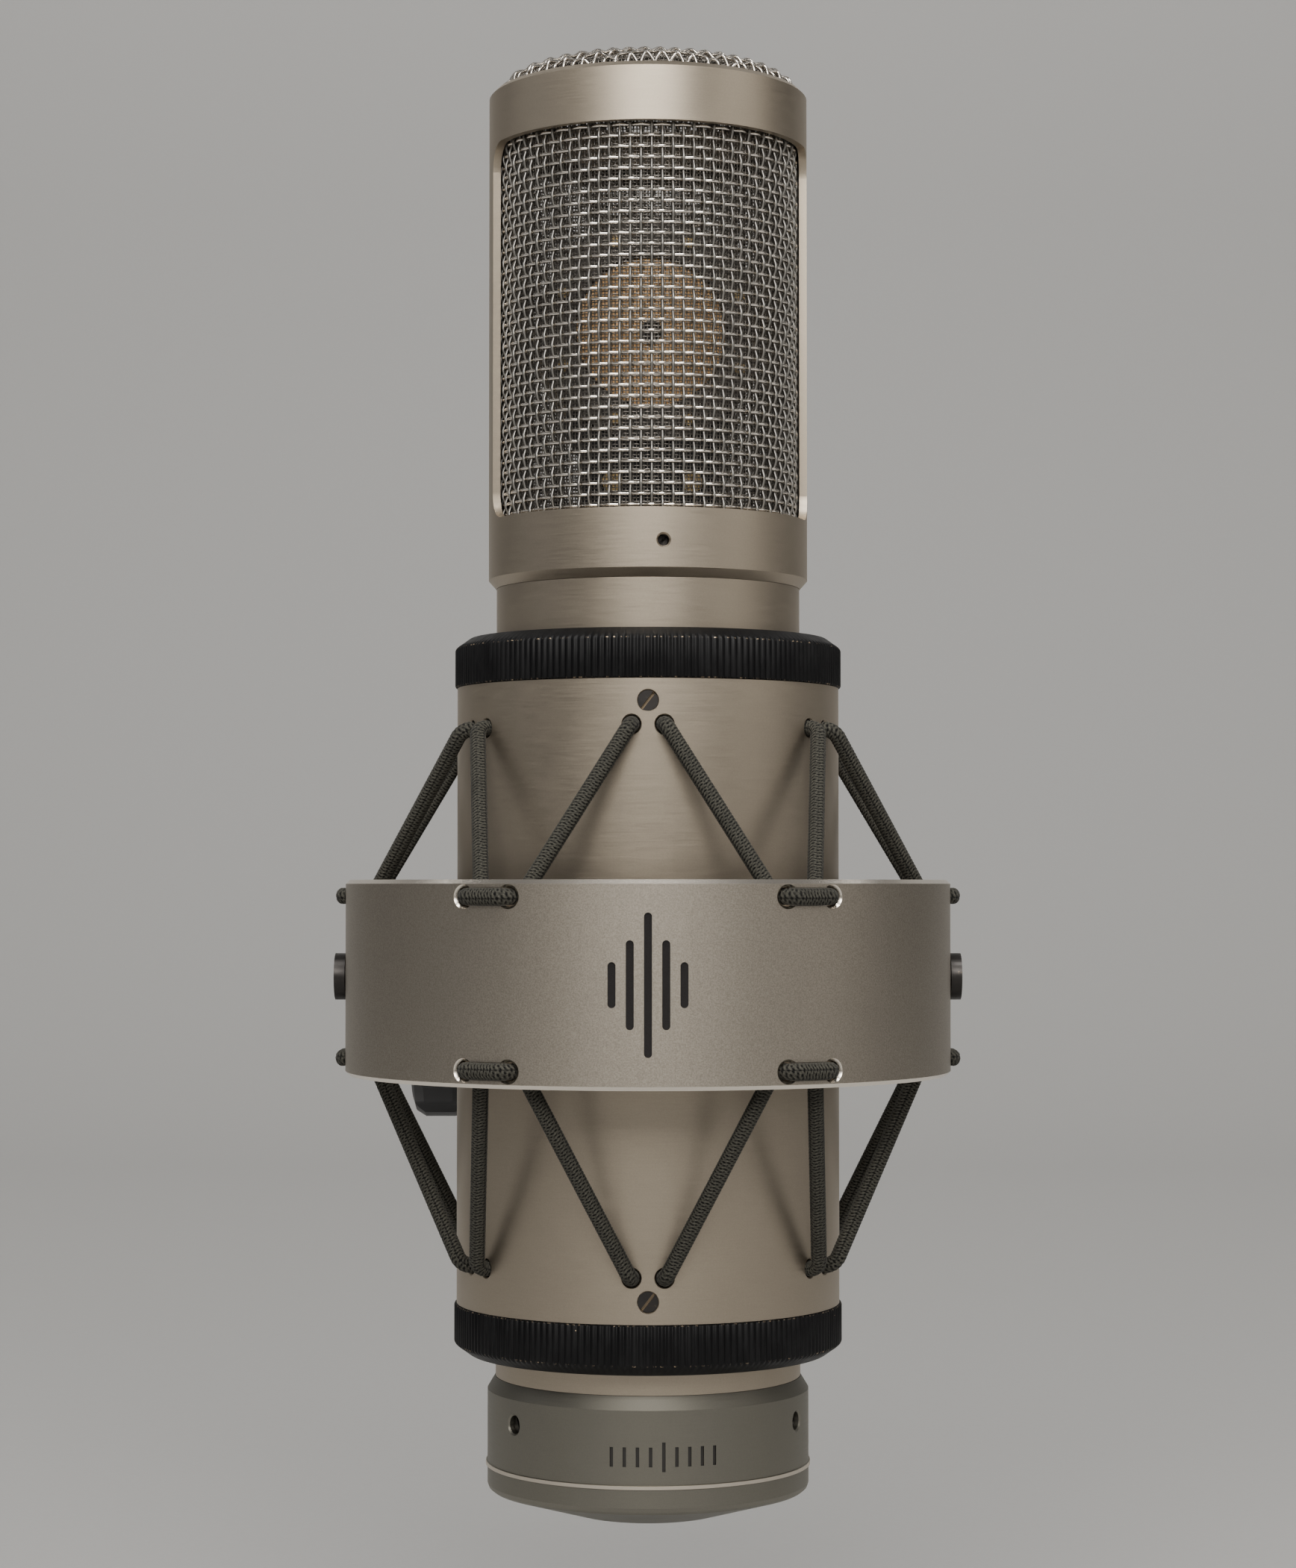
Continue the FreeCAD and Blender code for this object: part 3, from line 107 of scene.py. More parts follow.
SLEEVE_HOLE_LEVEL, RING_HOLE_LEVEL = 39.25 * MM, 12.1 * MM
SLEEVE_HOLE_ANGLE, RING_HOLE_ANGLE = math.radians(4.7), math.radians(25.35)
CORD_RADIUS = 1.0 * MM
CORD_SIDES = 36
ROW_STEP = 0.207 * MM
STITCH = 0.51 * MM
BRAID_COLUMNS = 10.0
BRAID_HEIGHT = 0.19


def around(radius, angle, level):
    """A point from radius, angle and height about the microphone's axis."""
    return Vector((AXIS_X + radius * math.cos(angle), AXIS_Y + radius * math.sin(angle), level))


# ------------------------------------------------------------------ shader building

class Surface:
    """A node material with a Principled shader and short calls for the nodes behind it."""

    def __init__(self, name, **sockets):
        self.material = bpy.data.materials.new(name)
        self.material.use_nodes = True
        self.tree = self.material.node_tree
        self.tree.nodes.clear()
        self.output = self.tree.nodes.new("ShaderNodeOutputMaterial")
        self.shader = self.tree.nodes.new("ShaderNodeBsdfPrincipled")
        self.tree.links.new(self.shader.outputs["BSDF"], self.output.inputs["Surface"])
        for socket, value in sockets.items():
            self.set(socket.replace("_", " "), value)

    def set(self, socket, value):
        """A constant or a node output into one of the shader's sockets."""
        self.feed(self.shader.inputs[socket], value)

    def feed(self, target, value):
        """Link a node output, or set a constant; three numbers become a colour."""
        if isinstance(value, bpy.types.NodeSocket):
            self.tree.links.new(value, target)
        elif isinstance(value, (tuple, list)) and len(value) == 3 and target.type == "RGBA":
            target.default_value = (*value, 1.0)
        else:
            target.default_value = value

    def node(self, kind, inputs=(), **settings):
        """One node with its settings and numbered or named inputs."""
        made = self.tree.nodes.new("ShaderNode" + kind)
        for name, value in settings.items():
            setattr(made, name, value)
        for key, value in dict(inputs).items():
            self.feed(made.inputs[key], value)
        return made

    def place(self, scale=(1, 1, 1), turn=(0, 0, 0), shift=(0, 0, 0)):
        """Object coordinates, shifted, turned and scaled."""
        where = self.node("TexCoord").outputs["Object"]
        inputs = {"Vector": where, "Scale": scale, "Rotation": turn, "Location": shift}
        return self.node("Mapping", inputs).outputs["Vector"]

    def noise(self, where, scale=1.0, detail=2.0, rough=0.5):
        """Fractal noise between 0 and 1."""
        inputs = {"Vector": where, "Scale": scale, "Detail": detail, "Roughness": rough}
        return self.node("TexNoise", inputs).outputs["Fac"]

    def math(self, operation, first, second=0.0, clamp=False):
        """One scalar operation."""
        made = self.node("Math", {0: first, 1: second}, operation=operation, use_clamp=clamp)
        return made.outputs[0]

    def span(self, value, low, high, start=0.0, end=1.0):
        """Map low..high onto start..end, clamped."""
        inputs = {"Value": value, "From Min": low, "From Max": high, "To Min": start, "To Max": end}
        return self.node("MapRange", inputs).outputs["Result"]

    def mix(self, share, first, second):
        """A colour mix."""
        made = self.node("Mix", data_type="RGBA")
        self.feed(made.inputs["Factor"], share)
        self.feed(made.inputs[6], first)
        self.feed(made.inputs[7], second)
        return made.outputs[2]

    def bump(self, height, strength, distance, below=None):
        """A normal from a height; bumps can be stacked."""
        inputs = {"Height": height, "Strength": strength, "Distance": distance}
        if below is not None:
            inputs["Normal"] = below
        return self.node("Bump", inputs).outputs["Normal"]

    def axis_parts(self):
        """Object coordinates about the microphone's axis: x, y, z and radius."""
        split = self.node("SeparateXYZ", {0: self.place(shift=(-AXIS_X, -AXIS_Y, 0.0))})
        across, depth, level = split.outputs
        across_squared = self.math("MULTIPLY", across, across)
        depth_squared = self.math("MULTIPLY", depth, depth)
        radius = self.math("SQRT", self.math("ADD", across_squared, depth_squared))
        return across, depth, level, radius

    def all_of(self, *tests):
        """The product of several masks."""
        whole = tests[0]
        for test in tests[1:]:
            whole = self.math("MULTIPLY", whole, test)
        return whole

    def engraving(self, middle, half_height, half_width, surface):
        """Mask of what lies below the skin at the front: the floors of engraved marks."""
        across, depth, level, radius = self.axis_parts()
        off = self.math("ABSOLUTE", self.math("SUBTRACT", level, middle))
        return self.all_of(
            self.math("LESS_THAN", radius, surface),
            self.math("GREATER_THAN", radius, surface - 0.8 * MM),
            self.math("LESS_THAN", depth, 0.0),
            self.math("LESS_THAN", self.math("ABSOLUTE", across), half_width),
            self.math("LESS_THAN", off, half_height))


def paint(surface, *names):
    """Put a material on CAD nodes or on pieces made here."""
    for name in names:
        target = NODES[name] if isinstance(name, str) else name
        target.data.materials.clear()
        target.data.materials.append(surface.material)


# ------------------------------------------------------------------ metals

def satin_nickel(name, tone=(0.445, 0.385, 0.305), roughness=0.41, scale_level=None):
    """Fine turned nickel: hairlines and faint clouds; with a scale level also a painted highlight on the
    bead and its painted marks.
    """
    made = Surface(name, Metallic=1.0, Anisotropic=0.35)
    lines = made.noise(made.place((220, 220, 9000)), 1.0, 3.0, 0.6)
    cloud = made.noise(made.place((55, 55, 38)), 1.0, 3.0)
    grain = made.noise(made.place((5200, 5200, 5200)), 1.0, 2.0, 0.6)
    light = tuple(part * 1.07 for part in tone)
    dark = tuple(part * 0.92 for part in tone)
    streak = made.math("ADD", made.math("MULTIPLY", lines, 0.45), made.math("MULTIPLY", grain, 0.55))
    base = made.mix(made.span(streak, 0.3, 0.7), dark, light)
    base = made.mix(made.span(cloud, 0.45, 0.8, 0.0, 0.5), base, dark)
    if scale_level:
        bead = (base_high.x - base_low.x) / 2
        # The outermost radius, the bead, gets a brighter colour all round: painted highlight.
        bead_highlight = made.math("GREATER_THAN", made.axis_parts()[3], bead - 0.07 * MM)
        base = made.mix(bead_highlight, base, (0.66, 0.60, 0.51))
        engraved = made.engraving(scale_level, 2.4 * MM, 10 * MM, bead - 0.35 * MM)
        base = made.mix(engraved, base, (0.02, 0.018, 0.016))
        made.set("Metallic", made.math("SUBTRACT", 1.0, engraved))
    made.set("Base Color", base)
    rough = made.span(made.math("ADD", cloud, lines), 0.7, 1.3, roughness - 0.05, roughness + 0.07)
    made.set("Roughness", rough)
    fine = made.bump(lines, 0.10, 0.00002)
    made.set("Normal", made.bump(grain, 0.12, 0.00002, fine))
    turning = made.node("Tangent", direction_type="RADIAL", axis="Z").outputs["Tangent"]
    made.set("Tangent", turning)
    return made


def blasted_nickel():
    """Bead-blasted ring: even fine grain, smoother machined bevels whose pale cream colour is a painted
    highlight, dark paint in the engraved bars.
    """
    made = Surface("blasted_nickel", Metallic=1.0)
    radius = made.axis_parts()[3]
    grain = made.noise(made.place((5200, 5200, 5200)), 1.0, 2.0, 0.6)
    cloud = made.noise(made.place((48, 48, 48)), 1.0, 3.0)
    tone = made.mix(made.span(grain, 0.35, 0.65), (0.305, 0.275, 0.230), (0.425, 0.382, 0.322))
    tone = made.mix(made.span(cloud, 0.45, 0.75, 0.0, 0.3), tone, (0.29, 0.262, 0.222))
    skin = made.math("GREATER_THAN", radius, RING_RADIUS - 0.03 * MM)
    inside = made.math("LESS_THAN", radius, RING_RADIUS - 2.9 * MM)
    blasted = made.math("MAXIMUM", skin, inside)
    # Between the blasted skin and the bore, the bevels are smoother, which is real, and pale cream, which
    # is painted highlight.
    ring_tone_with_bevel_highlight = made.mix(blasted, (0.88, 0.81, 0.71), tone)
    engraved = made.engraving(RING_LEVEL, 11 * MM, 7 * MM, RING_RADIUS - 0.2 * MM)
    made.set("Base Color", made.mix(engraved, ring_tone_with_bevel_highlight, (0.012, 0.010, 0.010)))
    made.set("Metallic", made.math("SUBTRACT", 1.0, engraved))
    rough = made.span(blasted, 0.0, 1.0, 0.22, 0.42)
    made.set("Roughness", made.math("ADD", rough, made.math("MULTIPLY", cloud, 0.06)))
    made.set("Normal", made.bump(grain, 0.22, 0.00003))
    return made


def wire_metal(name, tone, roughness):
    """Drawn wire: bright, with slow changes of tone from wire to wire."""
    made = Surface(name, Metallic=1.0)
    drift = made.noise(made.place((900, 900, 900)), 1.0, 2.0)
    grime = made.noise(made.place((260, 260, 260)), 1.0, 3.0)
    dull = tuple(part * 0.62 for part in tone)
    light = tuple(min(1.0, part * 1.15) for part in tone)
    colour = made.mix(made.span(drift, 0.35, 0.65), tone, light)
    made.set("Base Color", made.mix(made.span(grime, 0.5, 0.75, 0.0, 0.7), colour, dull))
    made.set("Roughness", made.span(grime, 0.3, 0.7, roughness, roughness + 0.14))
    made.set("Normal", made.bump(drift, 0.15, 0.00002))
    return made


def plain_metal(name, tone, roughness, scratches=0.15):
    """Machined metal of small hidden or half-hidden parts."""
    made = Surface(name, Metallic=1.0)
    lines = made.noise(made.place((900, 900, 5200)), 1.0, 2.0)
    patch = made.noise(made.place((170, 170, 170)), 1.0, 3.0)
    dark = tuple(part * 0.7 for part in tone)
    made.set("Base Color", made.mix(made.span(patch, 0.35, 0.7), tone, dark))
    made.set("Roughness", made.span(patch, 0.3, 0.7, roughness, roughness + 0.12))
    made.set("Normal", made.bump(lines, scratches, 0.00003))
    return made


def dark_oxide(name, slot_radius=0.0):
    """Blackened steel, rubbed bare in places and wherever it lies within a radius of the axis."""
    made = Surface(name, Metallic=0.85)
    wear = made.noise(made.place((1500, 1500, 1500)), 1.0, 4.0, 0.65)
    patch = made.noise(made.place((480, 480, 480)), 1.0, 2.0)
    slot = made.math("LESS_THAN", made.axis_parts()[3], slot_radius)
    worn = made.math("MAXIMUM", made.span(wear, 0.66, 0.76), slot)
    made.set("Base Color", made.mix(worn, (0.040, 0.037, 0.035), (0.27, 0.21, 0.14)))
    made.set("Roughness", made.span(patch, 0.3, 0.7, 0.32, 0.52))
    made.set("Normal", made.bump(wear, 0.3, 0.00004))
    return made


def anodised_black():
    """Black anodised knurl with a bronze glint where the coating has chipped on the edges."""
    made = Surface("black_anodised")
    level, radius = made.axis_parts()[2:]
    middle = made.math("ABSOLUTE", made.math("SUBTRACT", level, SLEEVE_LEVEL))
    reach = (sleeve_high.z - sleeve_low.z) / 2
    foot = made.math("ABSOLUTE", made.math("SUBTRACT", middle, reach + 0.1 * MM))
    joint = made.math("LESS_THAN", foot, 0.14 * MM)
    crest = made.math("ABSOLUTE", made.math("SUBTRACT", middle, reach + 5.95 * MM))
    shoulder = made.math("LESS_THAN", crest, 0.16 * MM)
    edge = made.math("MAXIMUM", made.math("MULTIPLY", joint, 0.75), shoulder)
    outer = made.math("GREATER_THAN", radius, SLEEVE_RADIUS + 0.16 * MM)
    chips = made.noise(made.place((1300, 1300, 700)), 1.0, 3.0, 0.7)
    specks = made.noise(made.place((1900, 1900, 1900), shift=(3, 1, 7)), 1.0, 1.0)
    chipped = made.math("MULTIPLY", made.math("MULTIPLY", edge, outer), made.span(chips, 0.52, 0.66))
    chipped = made.math("MAXIMUM", chipped, made.math("GREATER_THAN", specks, 0.84))
    dust = made.noise(made.place((420, 420, 160)), 1.0, 4.0, 0.6)
    black = made.mix(made.span(dust, 0.45, 0.75), (0.003, 0.003, 0.0035), (0.009, 0.009, 0.0095))
    made.set("Base Color", made.mix(chipped, black, (0.45, 0.35, 0.24)))
    made.set("Specular IOR Level", 0.2)
    made.set("Metallic", chipped)
    made.set("Roughness", made.span(dust, 0.3, 0.7, 0.40, 0.56))
    made.set("Normal", made.bump(dust, 0.12, 0.00005))
    return made


# ------------------------------------------------------------------ other materials

def dull_black(name, tone, roughness, grain_scale=1400.0, grain=0.25, metallic=0.0):
    """Moulded plastic, rubber or powder coat, told apart by tone, roughness and grain."""
    made = Surface(name, Metallic=metallic)
    skin = made.noise(made.place((grain_scale,) * 3), 1.0, 2.0, 0.6)
    haze = made.noise(made.place((130, 130, 130)), 1.0, 4.0)
    paler = tuple(part * 1.9 + 0.004 for part in tone)
    made.set("Base Color", made.mix(made.span(haze, 0.42, 0.8), tone, paler))
    made.set("Roughness", made.span(haze, 0.3, 0.7, roughness - 0.05, roughness + 0.08))
    made.set("Normal", made.bump(skin, grain, 0.00006))
    return made


def braided_cord():
    """Textile sheath: the crowns of the floats keep the cord's lighter colour and the creases go near
    black as painted shade; pale flecks on the crowns are partly lighter fibres and partly painted
    highlight; a soft sheen.
    """
    made = Surface("elastic_cord", Roughness=0.80)
    made.set("Sheen Weight", 0.05)
    made.set("Sheen Roughness", 0.5)
    made.set("Specular IOR Level", 0.15)
    place = made.node("UVMap", uv_map="braid").outputs["UV"]
    fibre = made.node("Mapping", {"Vector": place, "Scale": (38.0, 9.0, 1.0)}).outputs["Vector"]
    threads = made.noise(fibre, 2.0, 3.0, 0.7)
    yarn = made.node("Attribute", attribute_name="yarn").outputs["Fac"]
    patch = made.noise(made.place((300, 300, 300)), 1.0, 3.0)
    crown = made.mix(made.span(threads, 0.35, 0.70), (0.026, 0.026, 0.022), (0.140, 0.133, 0.108))
    # Creases between the floats fall to near black: painted shade; the crowns keep the cord's colour.
    tone = made.mix(made.span(yarn, 0.35, 0.9), (0.002, 0.002, 0.002), crown)
    # Pale flecks only on the crowns: partly lighter fibres, partly painted highlight.
    crown_fleck_and_highlight = made.math("MULTIPLY", made.math("GREATER_THAN", threads, 0.62), made.span(yarn, 0.5, 0.9))
    tone = made.mix(made.math("MULTIPLY", crown_fleck_and_highlight, 0.6), tone, (0.37, 0.35, 0.28))
    made.set("Base Color", made.mix(made.span(patch, 0.5, 0.8, 0.0, 0.4), tone, (0.012, 0.012, 0.011)))
    made.set("Normal", made.bump(threads, 0.5, 0.00006))
    return made


def gold_film():
    """Thin gold on plastic film: warm, slightly rippled, with scattered darker spots."""
    made = Surface("gold_film", Metallic=1.0, Roughness=0.28)
    ripple = made.noise(made.place((160, 160, 160)), 1.0, 2.0)
    spots = made.noise(made.place((900, 900, 900)), 1.0, 2.0)
    tone = made.mix(made.span(ripple, 0.3, 0.7), (0.80, 0.50, 0.25), (0.66, 0.40, 0.18))
    made.set("Base Color", made.mix(made.span(spots, 0.62, 0.75), tone, (0.55, 0.31, 0.13)))
    made.set("Normal", made.bump(ripple, 0.2, 0.0002))
    return made


def solder_mask():
    """Green circuit board with pale printed tracks."""
    made = Surface("board", Roughness=0.35)
    tracks = made.node("TexBrick", {"Vector": made.place((220, 220, 220), turn=(math.pi / 2, 0, AIM)),
                                    "Color1": (0.01, 0.10, 0.04, 1), "Color2": (0.01, 0.08, 0.035, 1),
                                    "Mortar": (0.05, 0.24, 0.10, 1), "Scale": 1.0})
    made.set("Base Color", tracks.outputs["Color"])
    made.set("Normal", made.bump(tracks.outputs["Fac"], 0.2, 0.00005))
    return made


def tube_glass():
    """Clear glass with a silvery getter stain near the tip."""
    made = Surface("tube_glass", Roughness=0.04, IOR=1.5)
    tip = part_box("amplifier_tube")[1][2]
    level = made.node("SeparateXYZ", {0: made.place()}).outputs[2]
    drift = made.math("MULTIPLY", made.noise(made.place((300, 300, 300))), 4 * MM)
    stain = made.span(made.math("ADD", level, drift), tip - 7 * MM, tip - 3 * MM)
    made.set("Base Color", made.mix(stain, (0.95, 0.97, 0.97), (0.20, 0.20, 0.21)))
    made.set("Metallic", stain)
    made.set("Transmission Weight", made.math("SUBTRACT", 0.95, stain, clamp=True))
    return made


def tinted(name, first, second, roughness, scale):
    """Two close colours mottled together, for hidden parts."""
    made = Surface(name, Roughness=roughness)
    spots = made.noise(made.place((scale,) * 3), 1.0, 3.0)
    made.set("Base Color", made.mix(made.span(spots, 0.35, 0.65), first, second))
    made.set("Normal", made.bump(spots, 0.2, 0.0001))
    return made


def winding():
    """Layers of yellow tape round the transformer coil."""
    made = Surface("winding_tape", Roughness=0.4)
    bands = made.node("TexWave", {"Vector": made.place((1, 1, 260)), "Scale": 1.0, "Distortion": 0.6},
                      bands_direction="Z")
    made.set("Base Color", made.mix(bands.outputs["Fac"], (0.50, 0.34, 0.06), (0.72, 0.54, 0.16)))
    made.set("Normal", made.bump(bands.outputs["Fac"], 0.3, 0.0001))
    return made


# ------------------------------------------------------------------ mesh building

def new_piece(name, points, faces, body, surface, replaces=()):
    """A smooth-shaded mesh object that rides on a body."""
    data = bpy.data.meshes.new(name)
    data.from_pydata([tuple(point) for point in points], [], faces)
    data.polygons.foreach_set("use_smooth", [True] * len(data.polygons))
    data.update()
    piece = bpy.data.objects.new(name, data)
    bpy.context.scene.collection.objects.link(piece)
    paint(surface, piece)
    if body:
        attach(piece, body)
    if replaces:
        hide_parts(*replaces)
    return piece


def tube_faces(rows, columns, start, closed):
    """Quads of a tube grid whose columns close; the rows close too when it is a loop."""
    row = np.arange(rows if closed else rows - 1)[:, None] * columns
    after = (np.arange(rows if closed else rows - 1)[:, None] + 1) % rows * columns
    near = np.arange(columns)[None, :]
    far = (near + 1) % columns
    quads = np.stack([row + near, row + far, after + far, after + near], axis=-1)
    return (quads.reshape(-1, 4) + start).tolist()


def wires(strands, radius, sides):
    """Wires of a regular section; each strand is (centre line, out directions, closed)."""
    points, faces = [], []
    count = 0
    spin = np.arange(sides) * TAU / sides
    for line, outward, closed in strands:
        line, outward = np.asarray(line), np.asarray(outward)
        if closed:
            ahead = np.roll(line, -1, axis=0) - np.roll(line, 1, axis=0)
        else:
            ahead = np.gradient(line, axis=0)
        ahead /= np.linalg.norm(ahead, axis=1)[:, None]
        side = np.cross(ahead, outward)
        side /= np.linalg.norm(side, axis=1)[:, None]
        lift = np.cross(side, ahead)
        ring = (line[:, None, :] + radius * (np.cos(spin)[None, :, None] * side[:, None, :]
                                             + np.sin(spin)[None, :, None] * lift[:, None, :]))
        points.append(ring.reshape(-1, 3))
        faces += tube_faces(len(line), sides, count, closed)
        if not closed:
            last = count + (len(line) - 1) * sides
            faces.append([count + index for index in range(sides)])
            faces.append([last + index for index in reversed(range(sides))])
        count += len(line) * sides
    return np.concatenate(points), faces


def cylinder_weave(radius, low, high, columns, rows, lift, steps):
    """Plain weave on a cylinder: upright wires and hoops that pass over and under in turn."""
    pitch = (high - low) / rows
    uprights, hoops = [], []
    level = np.linspace(low, high, rows * steps + 1)
    for column in range(columns):
        angle = FRONT + AIM + TAU * column / columns
        wave = lift * np.cos(np.pi * ((level - low) / pitch - 0.5) + np.pi * column)
        reach = radius + wave
        out = np.tile([math.cos(angle), math.sin(angle), 0.0], (len(level), 1))
        line = np.column_stack([AXIS_X + reach * out[:, 0], AXIS_Y + reach * out[:, 1], level])
        uprights.append((line, out, False))
    turn = np.linspace(0, TAU, columns * steps, endpoint=False)
    for row in range(rows):
        height = low + (row + 0.5) * pitch
        wave = -lift * np.cos(np.pi * (turn * columns / TAU) + np.pi * row)
        reach = radius + wave
        angle = FRONT + AIM + turn
        out = np.column_stack([np.cos(angle), np.sin(angle), np.zeros_like(angle)])
        line = np.column_stack([AXIS_X + reach * out[:, 0], AXIS_Y + reach * out[:, 1],
                                np.full_like(angle, height)])
        hoops.append((line, out, True))
    return uprights, hoops


def dome_height(radius, rim, skirt, crown):
    """Pressed dome: nearly flat crown with a tight shoulder that drops to the rim."""
    share = np.clip(np.asarray(radius) / rim, 0.0, 1.0)
    return skirt + (crown - skirt) * (1.0 - share ** 4.2) ** 0.42


def dome_weave(rim, skirt, crown, pitch, wire, lift, steps, turn):
    """Wires in two crossed directions pressed over the dome."""
    strands = []
    count = int(rim / pitch)
    for family in (0, 1):
        heading = turn + family * math.pi / 2
        along = np.array([math.cos(heading), math.sin(heading)])
        beside = np.array([-along[1], along[0]])
        for index in range(-count, count + 1):
            offset = (index + 0.5) * pitch
            if abs(offset) > rim - wire:
                continue
            reach = math.sqrt(rim ** 2 - offset ** 2)
            spots = max(6, int(2 * reach / pitch * steps))
            edge = np.linspace(-math.pi / 2, math.pi / 2, spots * 2 + 1)
            run = reach * np.sin(edge)
            flat = along[None, :] * run[:, None] + beside[None, :] * offset
            distance = np.hypot(flat[:, 0], flat[:, 1])
            height = dome_height(distance, rim, skirt, crown)
            step = 0.05 * MM
            slope = (dome_height(distance + step, rim, skirt, crown) - height) / step
            slope = np.clip(slope, -6.0, 0.0)
            out = np.column_stack([flat / np.maximum(distance, 1e-6)[:, None] * -slope[:, None],
                                   np.ones(len(flat))])
            out /= np.linalg.norm(out, axis=1)[:, None]
            wave = lift * np.cos(np.pi * (run / pitch - 0.5) + np.pi * (index + family))
            line = np.column_stack([AXIS_X + flat[:, 0], AXIS_Y + flat[:, 1], height])
            strands.append((line + out * wave[:, None], out, False))
    return strands


def woven_meshes(shaded_warp_metal, lit_weft_metal, fine):
    """Coarse and fine cloth behind the windows and in the dome."""
    wire, slim = WIRE_RADIUS, FINE_WIRE_RADIUS
    radius = (mesh_high.x - mesh_low.x) / 2 - 2 * wire
    rows = round((mesh_high.z - mesh_low.z) / WIRE_PITCH)
    uprights, hoops = cylinder_weave(radius, mesh_low.z, mesh_high.z, UPRIGHTS, rows, wire * 0.95, 3)
    # The uprights take the dark copy of the wire metal as painted shade, the hoops the bright copy as
    # painted highlight.
    cloth = (("side_mesh_uprights", uprights, shaded_warp_metal), ("side_mesh_hoops", hoops, lit_weft_metal))
    for name, strands, metal in cloth:
        points, faces = wires(strands, wire, 6)
        new_piece(name, points, faces, "microphone", metal, ["side_mesh"])
    radius = (fine_high.x - fine_low.x) / 2 - 2 * slim
    rows = round((fine_high.z - fine_low.z) / FINE_PITCH)
    uprights, hoops = cylinder_weave(radius, fine_low.z, fine_high.z, FINE_UPRIGHTS, rows, slim * 0.9, 1)
    for name, strands in (("fine_mesh_uprights", uprights), ("fine_mesh_hoops", hoops)):
        points, faces = wires(strands, slim, 3)
        new_piece(name, points, faces, "microphone", fine, ["fine_side_mesh"])
    rim = (dome_high.x - dome_low.x) / 2 - wire
    skirt = head_high.z - 0.6 * MM
    crown = dome_high.z - 2.1 * wire
    strands = dome_weave(rim, skirt, crown, WIRE_PITCH, wire, wire * 0.95, 2, AIM + math.pi / 4)
    points, faces = wires(strands, wire, 6)
    new_piece("dome_mesh_wires", points, faces, "microphone", lit_weft_metal, ["dome_mesh"])
    inner_rim, inner_crown = rim - 0.9 * MM, crown - 0.85 * MM
    strands = dome_weave(inner_rim, skirt, inner_crown, FINE_DOME_PITCH, slim, slim * 0.9, 1, AIM)
    points, faces = wires(strands, slim, 4)
    new_piece("fine_dome_mesh_wires", points, faces, "microphone", fine, ["fine_dome_mesh"])


# ------------------------------------------------------------------ collars

def knurled_collar(node, body, surface):
    """Collar with rounded flutes, chamfered lip and bore."""
    low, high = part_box(node)
    radius = (high[0] - low[0]) / 2
    upper = (low[2] + high[2]) / 2 > SLEEVE_LEVEL
    foot, rise = (low[2], 1.0) if upper else (high[2], -1.0)
    # outline in millimetres: radius, height from the foot, share of the flute depth
    profile = [
        (27.2, 0.0, 0.0), (radius / MM - 0.35, 0.0, 1.0), (radius / MM - 0.12, 0.05, 1.0),
        (radius / MM, 0.3, 1.0), (radius / MM, 3.0, 1.0), (radius / MM, 5.55, 1.0),
        (radius / MM - 0.12, 5.85, 1.0), (radius / MM - 0.45, 6.15, 0.6), (radius / MM - 0.8, 6.38, 0.0),
        (26.95, 7.28, 0.0), (26.75, 7.38, 0.0), (26.4, 7.4, 0.0), (24.5, 7.4, 0.0), (24.32, 7.3, 0.0),
        (24.3, 7.1, 0.0), (24.3, 5.1, 0.0), (27.2, 5.1, 0.0),
    ]
    columns = FLUTES * POINTS_PER_FLUTE
    angle = np.arange(columns) * TAU / columns
    groove = (0.5 - 0.5 * np.cos(angle * FLUTES)) ** 1.6
    points = []
    for reach, height, share in profile:
        wall = reach * MM - FLUTE_DEPTH * share * groove
        level = np.full(columns, foot + rise * height * MM)
        across, depth = AXIS_X + wall * np.cos(angle), AXIS_Y + wall * np.sin(angle)
        points.append(np.column_stack([across, depth, level]))
    faces = tube_faces(len(profile), columns, 0, True)
    if not upper:
        faces = [face[::-1] for face in faces]
    new_piece(node + "_knurled", np.concatenate(points), faces, body, surface, [node])


# ------------------------------------------------------------------ elastic cords

def elastic_route(side):
    """Corner points and bend radii of one sixth of a lacing, as (radius, angle, height, bend)."""
    sleeve_level = SLEEVE_LEVEL + side * SLEEVE_HOLE_LEVEL
    ring_level = RING_LEVEL + side * RING_HOLE_LEVEL
    near, far = SLEEVE_HOLE_ANGLE, RING_HOLE_ANGLE
    inside, outside = SLEEVE_RADIUS - 2.95 * MM, SLEEVE_RADIUS + 1.5 * MM
    under, over = RING_RADIUS - 4.1 * MM, RING_RADIUS + 0.6 * MM
    half = [
        (inside, near, sleeve_level, 1.5 * MM),
        (outside, near, sleeve_level, 2.0 * MM),
        (under, far, ring_level, 2.2 * MM),
        (over, far, ring_level, 1.6 * MM),
    ]
    other = [(radius, SIXTH - angle, level, bend) for radius, angle, level, bend in reversed(half)]
    return half + other


